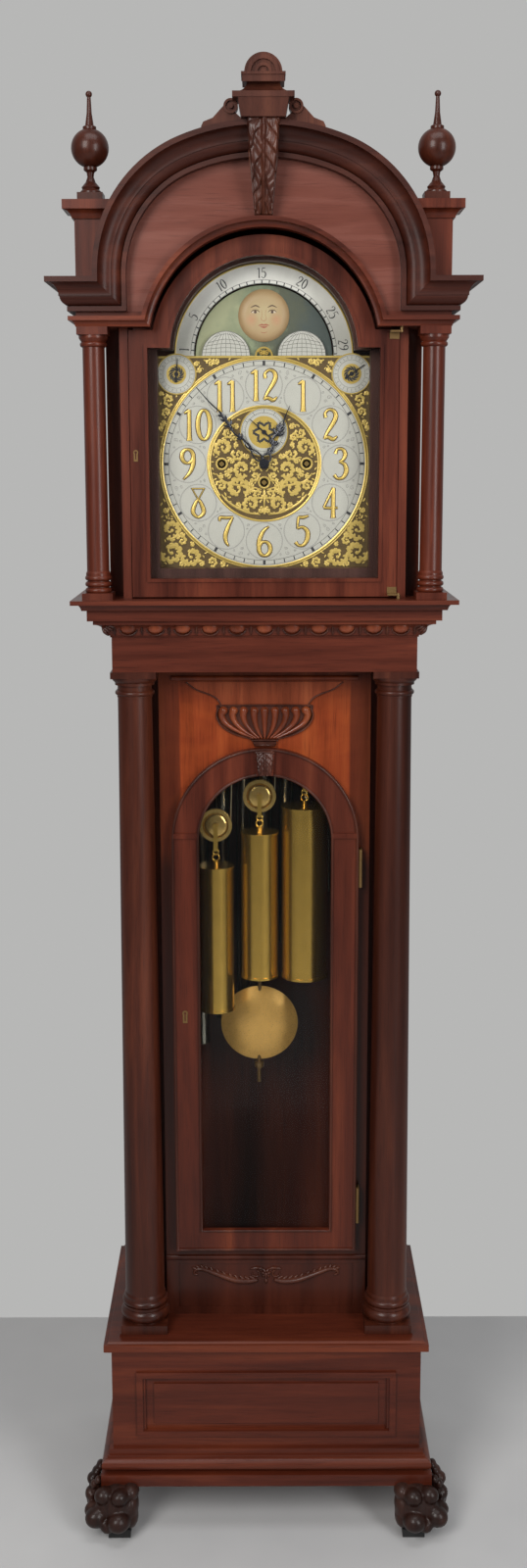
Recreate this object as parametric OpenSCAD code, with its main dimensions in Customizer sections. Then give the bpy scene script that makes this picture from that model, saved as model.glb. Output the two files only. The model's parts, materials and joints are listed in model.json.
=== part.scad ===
// Longcase clock with a break-arch dial, three cable-driven weights and tubular bells.
// Millimetres, Z up, front towards -Y, origin on the floor at the middle of the clock.

/* [Case] */
// Y of the trunk's front face
face_y = -54; // [-56:1:-50]
// Y of the flat back that stands against the wall
back_y = 204; // [200:1:210]
// Half the width of the trunk between its columns
trunk_half = 164; // [163:0.5:166]
// Half the width of the plinth box
plinth_half = 251; // [248:1:254]
// Height of the plinth's top surface
plinth_top_z = 338.5; // [338:0.5:340]
// Underside of the frieze, on the column capitals
frieze_z = 1420; // [1419:0.5:1421]
// Top of the ledge that the hood stands on
ledge_z = 1531.5; // [1531:0.5:1533]
// Thickness of the case boards
board = 18; // [16:1:19]

/* [Columns] */
// Distance of each trunk column from the middle
column_x = 198; // [197:0.5:199]
// Radius of a trunk column at the foot
column_foot_r = 32; // [30:0.5:33]
// Radius of a trunk column at the neck
column_neck_r = 26; // [25:0.5:27]
// Distance of each hood colonette from the middle
colonette_x = 245; // [244:0.5:246]
// Radius of a hood colonette
colonette_r = 16.5; // [15:0.5:17]

/* [Doors] */
// Half the width of the trunk door
door_half = 146.5; // [145:0.5:147]
// Half the width of the trunk door's glass opening
sight_half = 103.5; // [102:0.5:105]
// Height of the centre of the trunk door's round head
door_arch_z = 1149; // [1146:1:1150]
// Half the width of the hood door
hood_door_half = 195.5; // [194:0.5:196]
// Height of the centre of the hood door's round head
hood_arch_z = 1885; // [1884:0.5:1886]

/* [Dial] */
// Width of the square part of the dial plate
dial_w = 318; // [316:1:319]
// Height of the hand arbors
dial_z = 1727; // [1726:0.5:1728]
// Outer radius of the chapter ring
chapter_r = 154; // [152:0.5:156]

/* [Movement] */
// Height of the pendulum's suspension
pivot_z = 1808; // [1804:1:1812]
// Height of the middle of the bob
bob_z = 802; // [800:1:806]
// Radius of the cable drums
drum_r = 21; // [19:0.5:22]
// Radius of the weight pulleys
pulley_r = 26.5; // [26:0.5:27]
// Number of tubular bells
bells = 9; // [5:1:9]

/* [Hidden] */
$fn = 96;

wood = [0.33, 0.13, 0.08];
warm_wood = [0.52, 0.2, 0.09];
dark_wood = [0.22, 0.09, 0.06];
brass = [0.78, 0.62, 0.3];
gilt = [0.85, 0.68, 0.25];
silvered = [0.78, 0.78, 0.76];
steel = [0.3, 0.3, 0.33];
glass = [0.75, 0.85, 0.85, 0.25];

// Depths are given as a projection in front of the trunk's face, and at() turns one into Y.
function at(p) = face_y - p;

plinth_p = 77;
cap_p = 88;
frieze_p = 60;
frieze_half = 229;
column_p = 28;
colonette_p = 77;
hood_back_y = back_y - board;
hood_half = 209;
hood_frame_p = 66;
hood_door_p = 68;
hood_door_t = 22;
hood_shoulder_z = 1917;
hood_door_r = 163.5;
hood_sight_top = 1892;
hood_sight_half = 168.5;
hood_sight_z = 1560.5;
hood_sight_r = 136;
cornice_half = 272.5;
cornice_p = 100;
cornice_z = 1985.5;
cornice_h = 45;
side_arc_x = 45.6;
side_arc_r = 194.2;
crown_arc_z = 1877.4;
crown_arc_r = side_arc_r + norm([side_arc_x, cornice_z + 4 - crown_arc_z]);
crown_half_angle = atan(side_arc_x / (cornice_z + 4 - crown_arc_z));
bed_z = 1920;
inner_arch_z = 1890;
inner_arch_r = 179.5;
lip_r = inner_arch_r - 14;
mitre_low = sqrt(pow(lip_r, 2) - pow(bed_z - inner_arch_z, 2));
mitre_high = sqrt(pow(inner_arch_r, 2) - pow(bed_z + 14 - inner_arch_z, 2));
crest_z = 2192.8;
finial_x = 244;
finial_p = 77;
door_bottom_z = 459;
sight_bottom_z = 496;
door_p = 13.5;
dial_p = 11;
dial_top = dial_z + 156.5;
dial_bottom = dial_z - 156;
moon_ring_r = 132;
weight_p = -64;
pendulum_p = -128;
seconds_z = dial_z + 46.4;
// Each weight: pulley X, pulley Z, weight radius, drop to the weight's top, weight height
going = [-8.6, 1205, 29.8, 58, 242];
strike = [-79.4, 1157, 28.7, 66, 242];
chime = [64, 1255, 36.9, 66, 284];
weights = [going, strike, chime];
// The drums' axes on the dial, in the same order as the weights
drum_at = [[0, dial_z - 27.5], [-63.5, dial_z], [63.5, dial_z]];
cable_r = 1;
// The stud that holds each cable's fixed end, beside the drum
function stud_x(i) = min(weights[i][0] - pulley_r + 2, drum_at[i][0] - drum_r - 6.5);
seat_z = 1605;
swing = 0.56;
bell_p = -192;
knuckle_r = 2.6;
pin_r = 1.5;
hinge_x = 149.6;
hinge_p = 14.5;
hinge_z = [508, 1074];
pivot_x = 197.5;
pivot_p = 81;

// A board that lies in the front plane, from projection p_back to p_front
module slab(p_back, p_front) {
  translate([0, at(p_back), 0]) rotate([90, 0, 0]) linear_extrude(p_front - p_back) children();
}

// A plan outline raised from z0 to z1
module rise(z0, z1) {
  translate([0, 0, z0]) linear_extrude(z1 - z0) children();
}

// A box by its half width, its front projection, its back Y and its heights
module block(half, p, back, z0, z1) {
  translate([-half, at(p), z0]) cube([2 * half, back - at(p), z1 - z0]);
}

// A box anywhere, by its X range, projection range and Z range
module cell(x, p, z) {
  translate([x[0], at(p[1]), z[0]]) cube([x[1] - x[0], p[1] - p[0], z[1] - z[0]]);
}

// A round piece that stands upright at X and projection p
module upright(x, p) {
  translate([x, at(p), 0]) children();
}

// A round piece whose axis runs front to back at X, projection p and Z, nose forwards
module facing(x, p, z) {
  translate([x, at(p), z]) rotate([90, 0, 0]) children();
}

module both_sides() {
  children();
  mirror([1, 0, 0]) children();
}

// A block with one moulded profile on its front and both sides. The profile is drawn with
// its projection along x and its height along y, and runs back well behind x = 0.
module moulded(half, p, back) {
  reach = 80;
  intersection() {
    translate([-half - reach, at(p), 0]) rotate([90, 0, 90])
      linear_extrude(2 * (half + reach)) mirror([1, 0]) children();
    translate([0, back, 0]) rotate([90, 0, 0]) linear_extrude(back - at(p) + reach) {
      translate([half, 0]) children();
      mirror([1, 0]) translate([half, 0]) children();
    }
  }
}

// A rectangle with a round head, drawn in X and Z
module arched(half, z0, z1, zc, r) {
  translate([-half, z0]) square([2 * half, z1 - z0]);
  translate([0, zc]) circle(r);
}

// A claw foot: a scrolled leg over two knuckles and two toes, set on the corner diagonal
module paw() {
  sphere_r = 23;
  translate([0, 0, 14]) {
    intersection() {
      union() {
        for (side = [-1, 1]) {
          translate([side * 21 - 6, -side * 21 - 6, 22]) sphere(sphere_r);
          translate([side * 17 + 6, -side * 17 + 6, 50]) sphere(19);
        }
        translate([26, 26, 28]) sphere(26);
        translate([20, 20, 4]) cylinder(h = 66, r = 34);
      }
      translate([-60, -60, 0]) cube([140, 140, 110]);
    }
  }
}

module feet() {
  color(dark_wood) {
    difference() {
      both_sides() translate([-253, at(97), 0]) paw();
      block(235, 66, back_y, 60, 130);
    }
    both_sides() difference() {
      translate([-269, back_y - 78, 14]) cube([70, 78, 90]);
      translate([-190, back_y - 95, 34]) rotate([0, -90, 0]) cylinder(h = 90, r = 26);
    }
  }
}

module foot_pads() {
  color([0.05, 0.05, 0.05]) both_sides() {
    cell([-259, -223], [74, 110], [0, 14]);
    translate([-259, back_y - 60, 0]) cube([36, 36, 14]);
  }
}

module base_moulding() {
  inner = 233;
  color(wood) difference() {
    moulded(plinth_half, plinth_p, back_y) {
      translate([-400, 104.5]) square([400 + 6, 39.5]);
      translate([-400, 84.5]) square([400 + 19.5, 20]);
      translate([8, 119.7]) circle(10.4);
      translate([-400, 109.3]) square([408, 20.8]);
      translate([-400, 129]) square([400 + 9, 5]);
    }
    block(inner, plinth_p - board, back_y + 1, 96, 200);
    feet();
  }
}

// The bead frame round the sunk field of the plinth
module plinth_front() {
  field = 197;
  color(wood) {
    difference() {
      cell([-plinth_half, plinth_half], [plinth_p - board, plinth_p], [144, 316]);
      cell([-field, field], [plinth_p - 5, plinth_p + 1], [173, 268]);
    }
    slab(plinth_p, plinth_p + 4) difference() {
      translate([-field - 14, 164]) square([2 * field + 28, 114.5]);
      translate([-field - 4, 174]) square([2 * field + 8, 94.5]);
    }
    cell([-field + 14, field - 14], [plinth_p - 5, plinth_p - 2], [185, 256]);
  }
}

module plinth_sides() {
  color(wood) both_sides() difference() {
    translate([-plinth_half, at(plinth_p - board), 144])
      cube([board, back_y - at(plinth_p - board) - board, 172]);
    translate([-plinth_half - 1, at(20), 180]) cube([5, 190, 84]);
  }
}

module plinth_top() {
  color(wood) difference() {
    moulded(plinth_half, plinth_p, back_y) {
      translate([-400, 316]) square([400, plinth_top_z - 316]);
      difference() {
        translate([-9, 316]) square([20.5, 15.5]);
        translate([10, 315]) circle(4.5);
      }
      intersection() {
        translate([-10, 320]) circle(20);
        translate([-12, 330]) square([30, plinth_top_z - 334]);
      }
    }
    translate([-trunk_half + 20, -40, 300]) cube([2 * trunk_half - 40, 200, 60]);
    block(600, 200, at(plinth_p - 13), plinth_top_z - 4, plinth_top_z + 9);
    both_sides() translate([-400, -300, plinth_top_z - 4]) cube([400 - plinth_half + 13, 600, 9]);
  }
}

module backboard() {
  color(dark_wood) {
    translate([-plinth_half, hood_back_y, 144]) cube([2 * plinth_half, board, 172]);
    translate([-frieze_half, hood_back_y, plinth_top_z])
      cube([2 * frieze_half, board, cornice_z - plinth_top_z - 70]);
  }
}

// The fixed front of the trunk, with the opening that the door closes
module trunk_front() {
  opening = 139;
  color(warm_wood) {
    difference() {
      cell([-trunk_half, trunk_half], [-board, 0], [plinth_top_z, frieze_z]);
      slab(-board - 1, 1) arched(opening, 467, door_arch_z, door_arch_z, opening);
      cell([-144, 144], [-3, 1], [352, 429]);
    }
    difference() {
      translate([-trunk_half, at(0), 440.5]) rotate([0, 90, 0]) cylinder(h = 2 * trunk_half, r = 4.5);
      cell([-trunk_half - 1, trunk_half + 1], [-6, 0], [430, 450]);
    }
    difference() {
      translate([-144, at(0), 1403.5]) rotate([0, 90, 0]) cylinder(h = 288, r = 4);
      cell([-trunk_half, trunk_half], [-6, 0], [1395, 1412]);
    }
  }
}

// The gadrooned bowl with the shaped field over it, and the swag on the lower panel
module trunk_carvings() {
  lobes = 9;
  rim = 74;
  color(wood) {
    difference() {
      slab(0, 3) polygon([[-122, 1398], [122, 1398], [113, 1386], [72, 1366], [66, 1361],
        [-66, 1361], [-72, 1366], [-113, 1386]]);
      both_sides() facing(-112, 4, 1352) cylinder(h = 5, r = 33, center = true);
    }
    for (i = [0 : lobes - 1]) {
      x = (i - (lobes - 1) / 2) * 2 * (rim - 8) / (lobes - 1);
      slab(0, 7) hull() {
        translate([x, 1353]) circle(6.6, $fn = 24);
        translate([x * 0.86, 1332]) circle(5.4, $fn = 24);
        translate([x * 0.3, 1311]) circle(2.4, $fn = 16);
      }
    }
    cell([-21, 21], [0, 9], [1299, 1308]);
    cell([-17, 17], [0, 7], [1297.5, 1299]);
    slab(-3, 4) difference() {
      union() {
        intersection() {
          translate([0, 592]) circle(197);
          translate([-105, 380]) square([210, 44]);
        }
        both_sides() translate([-112, 414]) circle(9);
        translate([0, 411]) circle(13);
      }
      intersection() {
        translate([0, 606]) circle(199);
        translate([-96, 380]) square([192, 60]);
      }
    }
  }
}

// Each side has a notch at its front corner, where the column stands
module trunk_sides() {
  front_back_y = at(-board);
  notch_y = at(-26);
  color(wood) both_sides() rise(plinth_top_z, frieze_z) polygon([
    [-trunk_half, front_back_y], [-trunk_half + board, front_back_y],
    [-trunk_half + board, notch_y + board], [-frieze_half + board, notch_y + board],
    [-frieze_half + board, hood_back_y], [-frieze_half, hood_back_y],
    [-frieze_half, notch_y], [-trunk_half, notch_y]]);
}

module columns() {
  color(wood) difference() {
    both_sides() column();
    cell([-trunk_half, trunk_half], [-40, 0], [300, 1500]);
  }
}

module column() {
  base = 37.7;
  cap = 34.3;
  upright(-column_x, column_p) {
    translate([-base, -base, plinth_top_z]) cube([2 * base, 2 * base, 14.5]);
    rotate_extrude() difference() {
      union() {
        translate([0, 353]) square([34, 23]);
        intersection() {
          translate([28, 364.5]) circle(11.5);
          translate([0, 353]) square([60, 30]);
        }
        translate([0, 376]) square([36, 4]);
        intersection() {
          translate([31, 385]) circle(6);
          translate([0, 380]) square([60, 12]);
        }
        translate([0, 380]) square([31, 12]);
        polygon([[0, 390], [column_foot_r + 1.5, 390], [column_foot_r + 1.5, 396], [column_foot_r, 400],
          [column_neck_r, 1380], [0, 1380]]);
        translate([0, 1379]) square([column_neck_r + 1, 12]);
        translate([column_neck_r, 1386]) circle(4);
        translate([0, 1390]) square([column_neck_r, 10]);
        translate([0, 1398]) square([column_neck_r + 4, 12]);
        intersection() {
          translate([column_neck_r, 1410]) circle(9);
          translate([0, 1398]) square([50, 12]);
        }
      }
      translate([-80, 0]) square([80, 2000]);
    }
    translate([-cap, -cap, 1410]) cube([2 * cap, 2 * cap, frieze_z - 1410]);
  }
}

module frieze() {
  color(wood) difference() {
    block(frieze_half, frieze_p, hood_back_y, frieze_z, 1473);
    block(frieze_half - board, frieze_p - board, hood_back_y + 1, frieze_z - 1, 1474);
  }
}

module hood_base() {
  pitch = 40.6;
  eggs = 11;
  color(wood) {
    difference() {
      moulded(frieze_half, frieze_p, hood_back_y) {
        translate([-400, 1473]) square([402, 4]);
        difference() {
          translate([-400, 1476]) square([425, 24]);
          translate([26, 1474]) circle(20);
        }
        translate([-400, 1500]) square([433, 17]);
        difference() {
          translate([-400, 1516]) square([450, 11]);
          translate([55, 1514]) circle(15);
        }
        translate([-400, 1525]) square([455, ledge_z - 1525]);
      }
      block(frieze_half - board, frieze_p - board, hood_back_y + 1, 1400, 1600);
    }
    for (i = [0 : eggs - 1]) upright((i - (eggs - 1) / 2) * pitch, frieze_p + 3) egg();
    both_sides() for (i = [0 : 5]) upright(-frieze_half - 3, frieze_p - 14 - i * pitch) egg();
  }
}

module egg() {
  rotate_extrude() polygon([[0, 1478], [5, 1478.6], [9, 1481.5], [11.5, 1486], [12, 1491], [12, 1499],
    [0, 1499]]);
}

// The posts beside the hood door, and the side frames behind them
module hood_frame() {
  color(wood) {
    both_sides() cell([-hood_half, -hood_door_half - 1], [20, hood_frame_p], [ledge_z, 1920]);
    both_sides() cell([-hood_half, -hood_door_half + 18], [10, 20], [ledge_z, 1920]);
  }
}

module hood_mask() {
  color(dark_wood) difference() {
    slab(dial_p + 2.3, 42) {
      translate([-hood_door_half + 2, ledge_z])
        square([2 * hood_door_half - 4, hood_shoulder_z - ledge_z + 2]);
      translate([0, hood_arch_z]) circle(hood_door_r - 1);
    }
    slab(dial_p - 1, 43) {
      translate([-dial_w / 2 + 3, dial_bottom + 3]) square([dial_w - 6, dial_top - dial_bottom + 4]);
      translate([0, dial_top]) circle(moon_ring_r + 0.5);
    }
    both_sides() cell([-hood_half, -hood_door_half + 18], [0, 21], [ledge_z - 1, 1921]);
  }
}

module hood_sides() {
  side = 232;
  color(wood) both_sides() difference() {
    translate([-side, at(10), ledge_z]) cube([board, hood_back_y - at(10), 1920 - ledge_z]);
    translate([-side - 1, at(-25), ledge_z + 60]) cube([5, 120, 260]);
  }
  color(wood) both_sides() cell([-side, -hood_half], [10, 26], [ledge_z, 1920]);
}

// The three-centred outline of the hood's arch down to floor_z, set in by a constant margin
module arch_outline(inset, floor_z = cornice_z - cornice_h) {
  spring_z = cornice_z + 4;
  reach = 400 * tan(crown_half_angle);
  both_sides() intersection() {
    translate([-side_arc_x, spring_z]) circle(side_arc_r - inset);
    polygon([[-side_arc_x, spring_z], [-side_arc_x - 400, spring_z], [-side_arc_x - 400, spring_z + 400],
      [-side_arc_x - reach, spring_z + 400]]);
  }
  intersection() {
    translate([0, crown_arc_z]) circle(crown_arc_r - inset);
    polygon([[-side_arc_x, spring_z], [-side_arc_x - reach, spring_z + 400],
      [side_arc_x + reach, spring_z + 400], [side_arc_x, spring_z]]);
  }
  translate([-side_arc_x - side_arc_r + inset, floor_z])
    square([2 * (side_arc_x + side_arc_r - inset), spring_z - floor_z]);
}

module tympanum() {
  color(wood) slab(74, 88) difference() {
    arch_outline(cornice_h - 8);
    translate([0, inner_arch_z]) circle(inner_arch_r + 0.1);
  }
}

// The cornice profile in two parts: a foot fillet, a round and a top fillet, and the cove between
module cornice_part(part, back = 400) {
  if (part == 0) {
    translate([-back, 0]) square([back + 6, 6.4]);
    translate([-back, 6]) square([back + 2.5, 15]);
    translate([2.5, 20]) circle(12.8);
    translate([-back, 37.6]) square([back + 34, cornice_h - 37.6]);
  } else difference() {
    translate([-back, 20]) square([back + 33, 18]);
    translate([33, 22]) circle(16.4);
  }
}

// One arc of the arch moulding, turned round its own centre. The lengths meet in hairline joints.
module arch_arc(x, z, r, from, sweep) {
  translate([x, at(cornice_p), z]) rotate([90, 0, 0]) rotate([0, 0, from]) for (part = [0, 1])
    rotate_extrude(angle = sweep) translate([r - cornice_h, 0]) rotate([0, 0, -90]) mirror([1, 0])
      cornice_part(part, 12);
}

module arch_cornice() {
  leg = side_arc_x + side_arc_r;
  foot_z = cornice_z - cornice_h;
  joint = 0.01;
  color(wood) {
    arch_arc(0, crown_arc_z, crown_arc_r, 90 - crown_half_angle + joint, 2 * crown_half_angle - 2 * joint);
    both_sides()
      arch_arc(-side_arc_x, cornice_z + 4, side_arc_r, 90 + crown_half_angle, 90 - crown_half_angle);
    both_sides() difference() {
      translate([-leg + cornice_h, at(cornice_p), foot_z]) for (part = [0, 1])
        linear_extrude(cornice_h + 4 - joint * 5) mirror([1, 0]) rotate(-90) cornice_part(part, 12);
      slab(60, 150) polygon([[-leg - 40, cornice_z + 40], [-leg - 80, cornice_z - 80],
        [-leg + cornice_h, foot_z - 1], [-leg + cornice_h, foot_z]]);
    }
    difference() {
      translate([0, 0, foot_z]) for (part = [0, 1])
        moulded(cornice_half, cornice_p, hood_back_y) cornice_part(part);
      block(cornice_half - 14, cornice_p - 12, hood_back_y + 1, 1900, 2100);
      slab(40, 200) polygon([[-leg + cornice_h, foot_z - 1], [-leg + cornice_h, foot_z], [-leg, cornice_z],
        [-leg, cornice_z + 10], [leg, cornice_z + 10], [leg, cornice_z], [leg - cornice_h, foot_z],
        [leg - cornice_h, foot_z - 1]]);
    }
  }
}

// The section that the bed mould and the ring round the arch share: a cove and a fillet
module bed_profile() {
  difference() {
    translate([-1, 0]) square([10, 9]);
    translate([11.5, -1]) circle(10.5);
  }
  translate([-1, 8]) square([11.5, 6]);
}

// The bed mould under the cornice, which turns up into a ring round the dial's arch
module architrave() {
  high_z = bed_z + 14;
  color(wood) {
    difference() {
      moulded(cornice_half - 5, cornice_p - 5, hood_back_y) {
        translate([-400, bed_z]) square([400, cornice_z - cornice_h - bed_z]);
        translate([0, bed_z]) bed_profile();
      }
      block(hood_half + 3, 60, hood_back_y + 1, 1900, 2000);
      slab(30, 200) polygon([[-mitre_high, high_z], [-mitre_low, bed_z], [-mitre_low, 1900],
        [mitre_low, 1900], [mitre_low, bed_z], [mitre_high, high_z]]);
      slab(30, 200) intersection() {
        translate([0, inner_arch_z]) circle(inner_arch_r);
        translate([-300, high_z]) square([600, 200]);
      }
    }
    difference() {
      facing(0, 74, inner_arch_z) rotate_extrude() {
        translate([lip_r, 0]) square([14, 21]);
        translate([lip_r, 21]) rotate(-90) mirror([1, 0]) bed_profile();
      }
      cell([-300, 300], [0, 200], [1600, bed_z]);
      both_sides() slab(60, 200) polygon([[-mitre_low, bed_z], [-mitre_high, high_z], [-300, high_z],
        [-300, 1900], [-mitre_low, 1900]]);
    }
  }
}

module hood_roof() {
  color(dark_wood) translate([0, hood_back_y, 0]) rotate([90, 0, 0])
    linear_extrude(hood_back_y - at(73.5)) difference() {
      arch_outline(6);
      arch_outline(18);
      translate([-300, 1800]) square([600, cornice_z - 1800]);
    }
  color(dark_wood) translate([0, back_y, 0]) rotate([90, 0, 0]) linear_extrude(board)
    arch_outline(6, cornice_z - 70);
}

module finial_blocks() {
  body = 22;
  color(wood) both_sides() difference() {
    union() {
      cell([-finial_x - body, -finial_x + body], [finial_p - 46, finial_p + body], [cornice_z, 2067]);
      upright(-finial_x, finial_p) intersection() {
        rotate([90, 0, 90]) linear_extrude(90, center = true) cap_outline(body);
        rotate([90, 0, 0]) linear_extrude(90, center = true) cap_outline(body);
      }
    }
    slab(20, 200) arch_outline(-0.2);
  }
}

module cap_outline(body) {
  difference() {
    translate([-body - 15.5, 2066]) square([2 * body + 31, 24.5]);
    both_sides() translate([-body - 17, 2064]) circle(14);
  }
}

module finials() {
  color(wood) both_sides() upright(-finial_x, finial_p) {
    translate([-18, -18, 2090.5]) cube([36, 36, 12]);
    translate([0, 0, 2163.5]) sphere(26.5);
    translate([0, 0, 2235]) sphere(4.6);
    rotate_extrude() polygon([[0, 2102], [15, 2102], [15, 2105], [12, 2108], [13, 2111], [7, 2118],
      [4.5, 2125],
      [5.5, 2131], [9.5, 2134], [9.5, 2138], [6, 2140], [6, 2186], [9.5, 2188.5], [9.5, 2192], [6, 2194],
      [3.6, 2210], [2.6, 2232], [0, 2234]]);
  }
}

// The stepped cap over the keystone with its half-round top, and a scroll bracket each side
module crest() {
  front = 150;
  color(wood) {
    for (step = [[26, 0, 110, front - 8], [22, 17, front - 8, front - 5], [12, 8, front - 8, front - 5],
        [4, 0, front - 8, front - 5]])
      slab(step[2], step[3]) intersection() {
        translate([0, 2250]) difference() {
          circle(step[0]);
          if (step[1] > 0) circle(step[1]);
        }
        translate([-40, 2250]) square([80, 40]);
      }
    cell([-28.8, 28.8], [106, front - 3], [2237.5, 2250]);
    cell([-30.3, 30.3], [104, front - 1.5], [2246.3, 2250]);
    difference() {
      cell([-40, 40], [100, front - 2], [2224, 2238]);
      both_sides() facing(-40, 90, 2243.7) cylinder(h = 70, r = 18.5);
      translate([-60, at(front - 2), 2243.7]) rotate([0, 90, 0]) cylinder(h = 120, r = 18.5);
    }
    cell([-42.5, 42.5], [98, front], [2217.5, 2225]);
    intersection() {
      slab(90, 200) polygon([[-35, 2218], [35, 2218], [30.5, crest_z], [-30.5, crest_z]]);
      translate([-60, 0, 0]) rotate([90, 0, 90]) linear_extrude(120)
        polygon([[at(front - 1), 2218], [at(100), 2218], [at(100), crest_z], [at(front - 4), crest_z]]);
    }
    both_sides() {
      slab(104, 119) difference() {
        union() {
          translate([-45, 2211]) circle(10);
          polygon([[-46, 2220.5], [-59, 2207.6], [-70, 2196], [-83, 2191], [-86, 2185], [-86, 2170],
            [-31, 2185], [-31, 2196], [-40, 2204]]);
        }
        arch_outline(-0.1);
      }
      slab(119, 122) translate([-45, 2211]) difference() {
        circle(10);
        circle(7);
      }
      slab(119, 123) translate([-45, 2211]) circle(3.4);
    }
  }
}

module keystone() {
  color(dark_wood) intersection() {
    slab(88, 170) polygon([[-23.6, crest_z], [23.6, crest_z], [13, 2071], [-13, 2071]]);
    translate([-60, 0, 0]) rotate([90, 0, 90]) linear_extrude(120)
      polygon([[at(144), crest_z], [at(88), crest_z], [at(88), 2071], [at(108), 2071], [at(114), 2090],
        [at(129), 2125], [at(141), 2150]]);
    difference() {
      cell([-60, 60], [80, 200], [2060, 2200]);
      difference() {
        slab(87, 134.1) arch_outline(-0.1);
        slab(80, 140) arch_outline(cornice_h + 0.1);
      }
    }
  }
}

module colonettes() {
  base = 22.5;
  color(wood) both_sides() upright(-colonette_x, colonette_p) {
    translate([-base, -base, ledge_z]) cube([2 * base, 2 * base, 10]);
    translate([-22, -22, 1909]) cube([44, 44, 11]);
    rotate_extrude() {
      translate([0, 1541]) square([16, 370]);
      for (ring = [1545, 1554, 1563, 1896]) translate([15.5, ring]) circle(4);
      translate([0, 1541]) square([15.5, 8]);
      polygon([[0, 1566], [colonette_r + 1.5, 1566], [colonette_r + 1.5, 1570], [colonette_r, 1573],
        [colonette_r - 0.7, 1888], [0, 1888]]);
      polygon([[0, 1899], [17, 1899], [21, 1905], [21, 1909], [0, 1909]]);
    }
  }
}

// The case halves of the trunk door's hinges, and the two pivots that the hood door turns on
module case_hinges() {
  color(brass) {
    for (z = hinge_z) {
      for (end = [[0, 19.8], [41.2, 61]])
        upright(hinge_x, hinge_p) translate([0, 0, z + end[0]]) cylinder(h = end[1] - end[0], r = knuckle_r);
      upright(hinge_x, hinge_p) translate([0, 0, z]) cylinder(h = 61, r = pin_r);
      for (end = [[0, 19.8], [41.2, 61]])
        cell([hinge_x, hinge_x + 2.4], [0, hinge_p], [z + end[0], z + end[1]]);
    }
    for (end = [[ledge_z, ledge_z], [bed_z - 4.5, bed_z - 8]]) upright(pivot_x, pivot_p) {
      translate([0, 0, end[0]]) cylinder(h = 4.5, r = knuckle_r);
      translate([0, 0, end[1]]) cylinder(h = 8, r = pin_r);
    }
  }
}

module hood_door_frame() {
  back = hood_door_p - hood_door_t;
  color(wood) {
    difference() {
      slab(back, hood_door_p) union() {
        translate([-hood_door_half, ledge_z + 2])
          square([2 * hood_door_half, hood_shoulder_z - ledge_z - 2]);
        translate([0, hood_arch_z]) circle(hood_door_r);
      }
      slab(back - 1, hood_door_p + 1)
        arched(hood_sight_half, hood_sight_z, hood_sight_top, hood_arch_z - 1, hood_sight_r);
      slab(back - 1, back + 10)
        arched(hood_sight_half + 5, hood_sight_z - 5, hood_sight_top + 5, hood_arch_z - 1, hood_sight_r + 5);
    }
    slab(hood_door_p, hood_door_p + 2.5) difference() {
      arched(hood_sight_half + 5, hood_sight_z - 5, hood_sight_top + 5, hood_arch_z - 1, hood_sight_r + 5);
      arched(hood_sight_half, hood_sight_z, hood_sight_top, hood_arch_z - 1, hood_sight_r);
    }
  }
}

module hood_door_glass() {
  color(glass) slab(hood_door_p - hood_door_t + 6.5, hood_door_p - hood_door_t + 9.9)
    arched(hood_sight_half + 4.5, hood_sight_z - 4.5, hood_sight_top + 4.5, hood_arch_z - 1,
      hood_sight_r + 4.5);
}

// The escutcheon and the door halves of the pivots
module hood_door_fittings() {
  color(brass) {
    difference() {
      slab(hood_door_p, hood_door_p + 0.8) union() {
        translate([-hood_door_half + 8, 1744]) circle(3.6);
        translate([-hood_door_half + 5, 1731]) square([6, 12]);
      }
      slab(hood_door_p - 1, hood_door_p + 2) union() {
        translate([-hood_door_half + 8, 1744]) circle(1.8);
        translate([-hood_door_half + 7.2, 1734]) square([1.6, 10]);
      }
    }
    for (z = [[ledge_z + 4.8, ledge_z + 4.8], [bed_z - 16.2, bed_z - 7.4]]) difference() {
      union() {
        cell([pivot_x - 16, pivot_x], [hood_door_p, pivot_p + knuckle_r], [z[1], z[1] + 2.6]);
        upright(pivot_x, pivot_p) translate([0, 0, z[1]]) cylinder(h = 2.6, r = knuckle_r);
        cell([pivot_x - 16, pivot_x - 2], [hood_door_p, hood_door_p + 1.5], [z[0], z[0] + 11.4]);
      }
      upright(pivot_x, pivot_p) translate([0, 0, z[1] - 1]) cylinder(h = 5, r = pin_r + 0.05);
    }
  }
}

module trunk_door_frame() {
  back = 0.5;
  color(wood) {
    difference() {
      slab(back, door_p) arched(door_half, door_bottom_z, door_arch_z, door_arch_z, door_half);
      slab(back - 1, door_p + 1) arched(sight_half, sight_bottom_z, door_arch_z, door_arch_z, sight_half);
      slab(back - 1, back + 6.5)
        arched(sight_half + 4.5, sight_bottom_z - 4.5, door_arch_z, door_arch_z, sight_half + 4.5);
    }
    for (edge = [[door_half, 4, 0], [sight_half + 4, 4, 4]])
      slab(door_p, door_p + 2) difference() {
        arched(edge[0], sight_bottom_z - edge[2] - (edge[2] == 0 ? sight_bottom_z - door_bottom_z : 0),
          door_arch_z, door_arch_z, edge[0]);
        arched(edge[0] - edge[1], sight_bottom_z + 4 - edge[2]
          - (edge[2] == 0 ? sight_bottom_z - door_bottom_z : 0), door_arch_z, door_arch_z, edge[0] - edge[1]);
      }
    both_sides() cell([-door_half + 1, -sight_half - 2], [door_p, door_p + 3], [1153, 1161]);
    slab(door_p, door_p + 8) polygon([[-15, 1292], [15, 1292], [12.5, 1254], [-12.5, 1254]]);
  }
}

module trunk_door_glass() {
  color(glass) slab(3.5, 6.9)
    arched(sight_half + 4, sight_bottom_z - 4, door_arch_z, door_arch_z, sight_half + 4);
}

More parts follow.
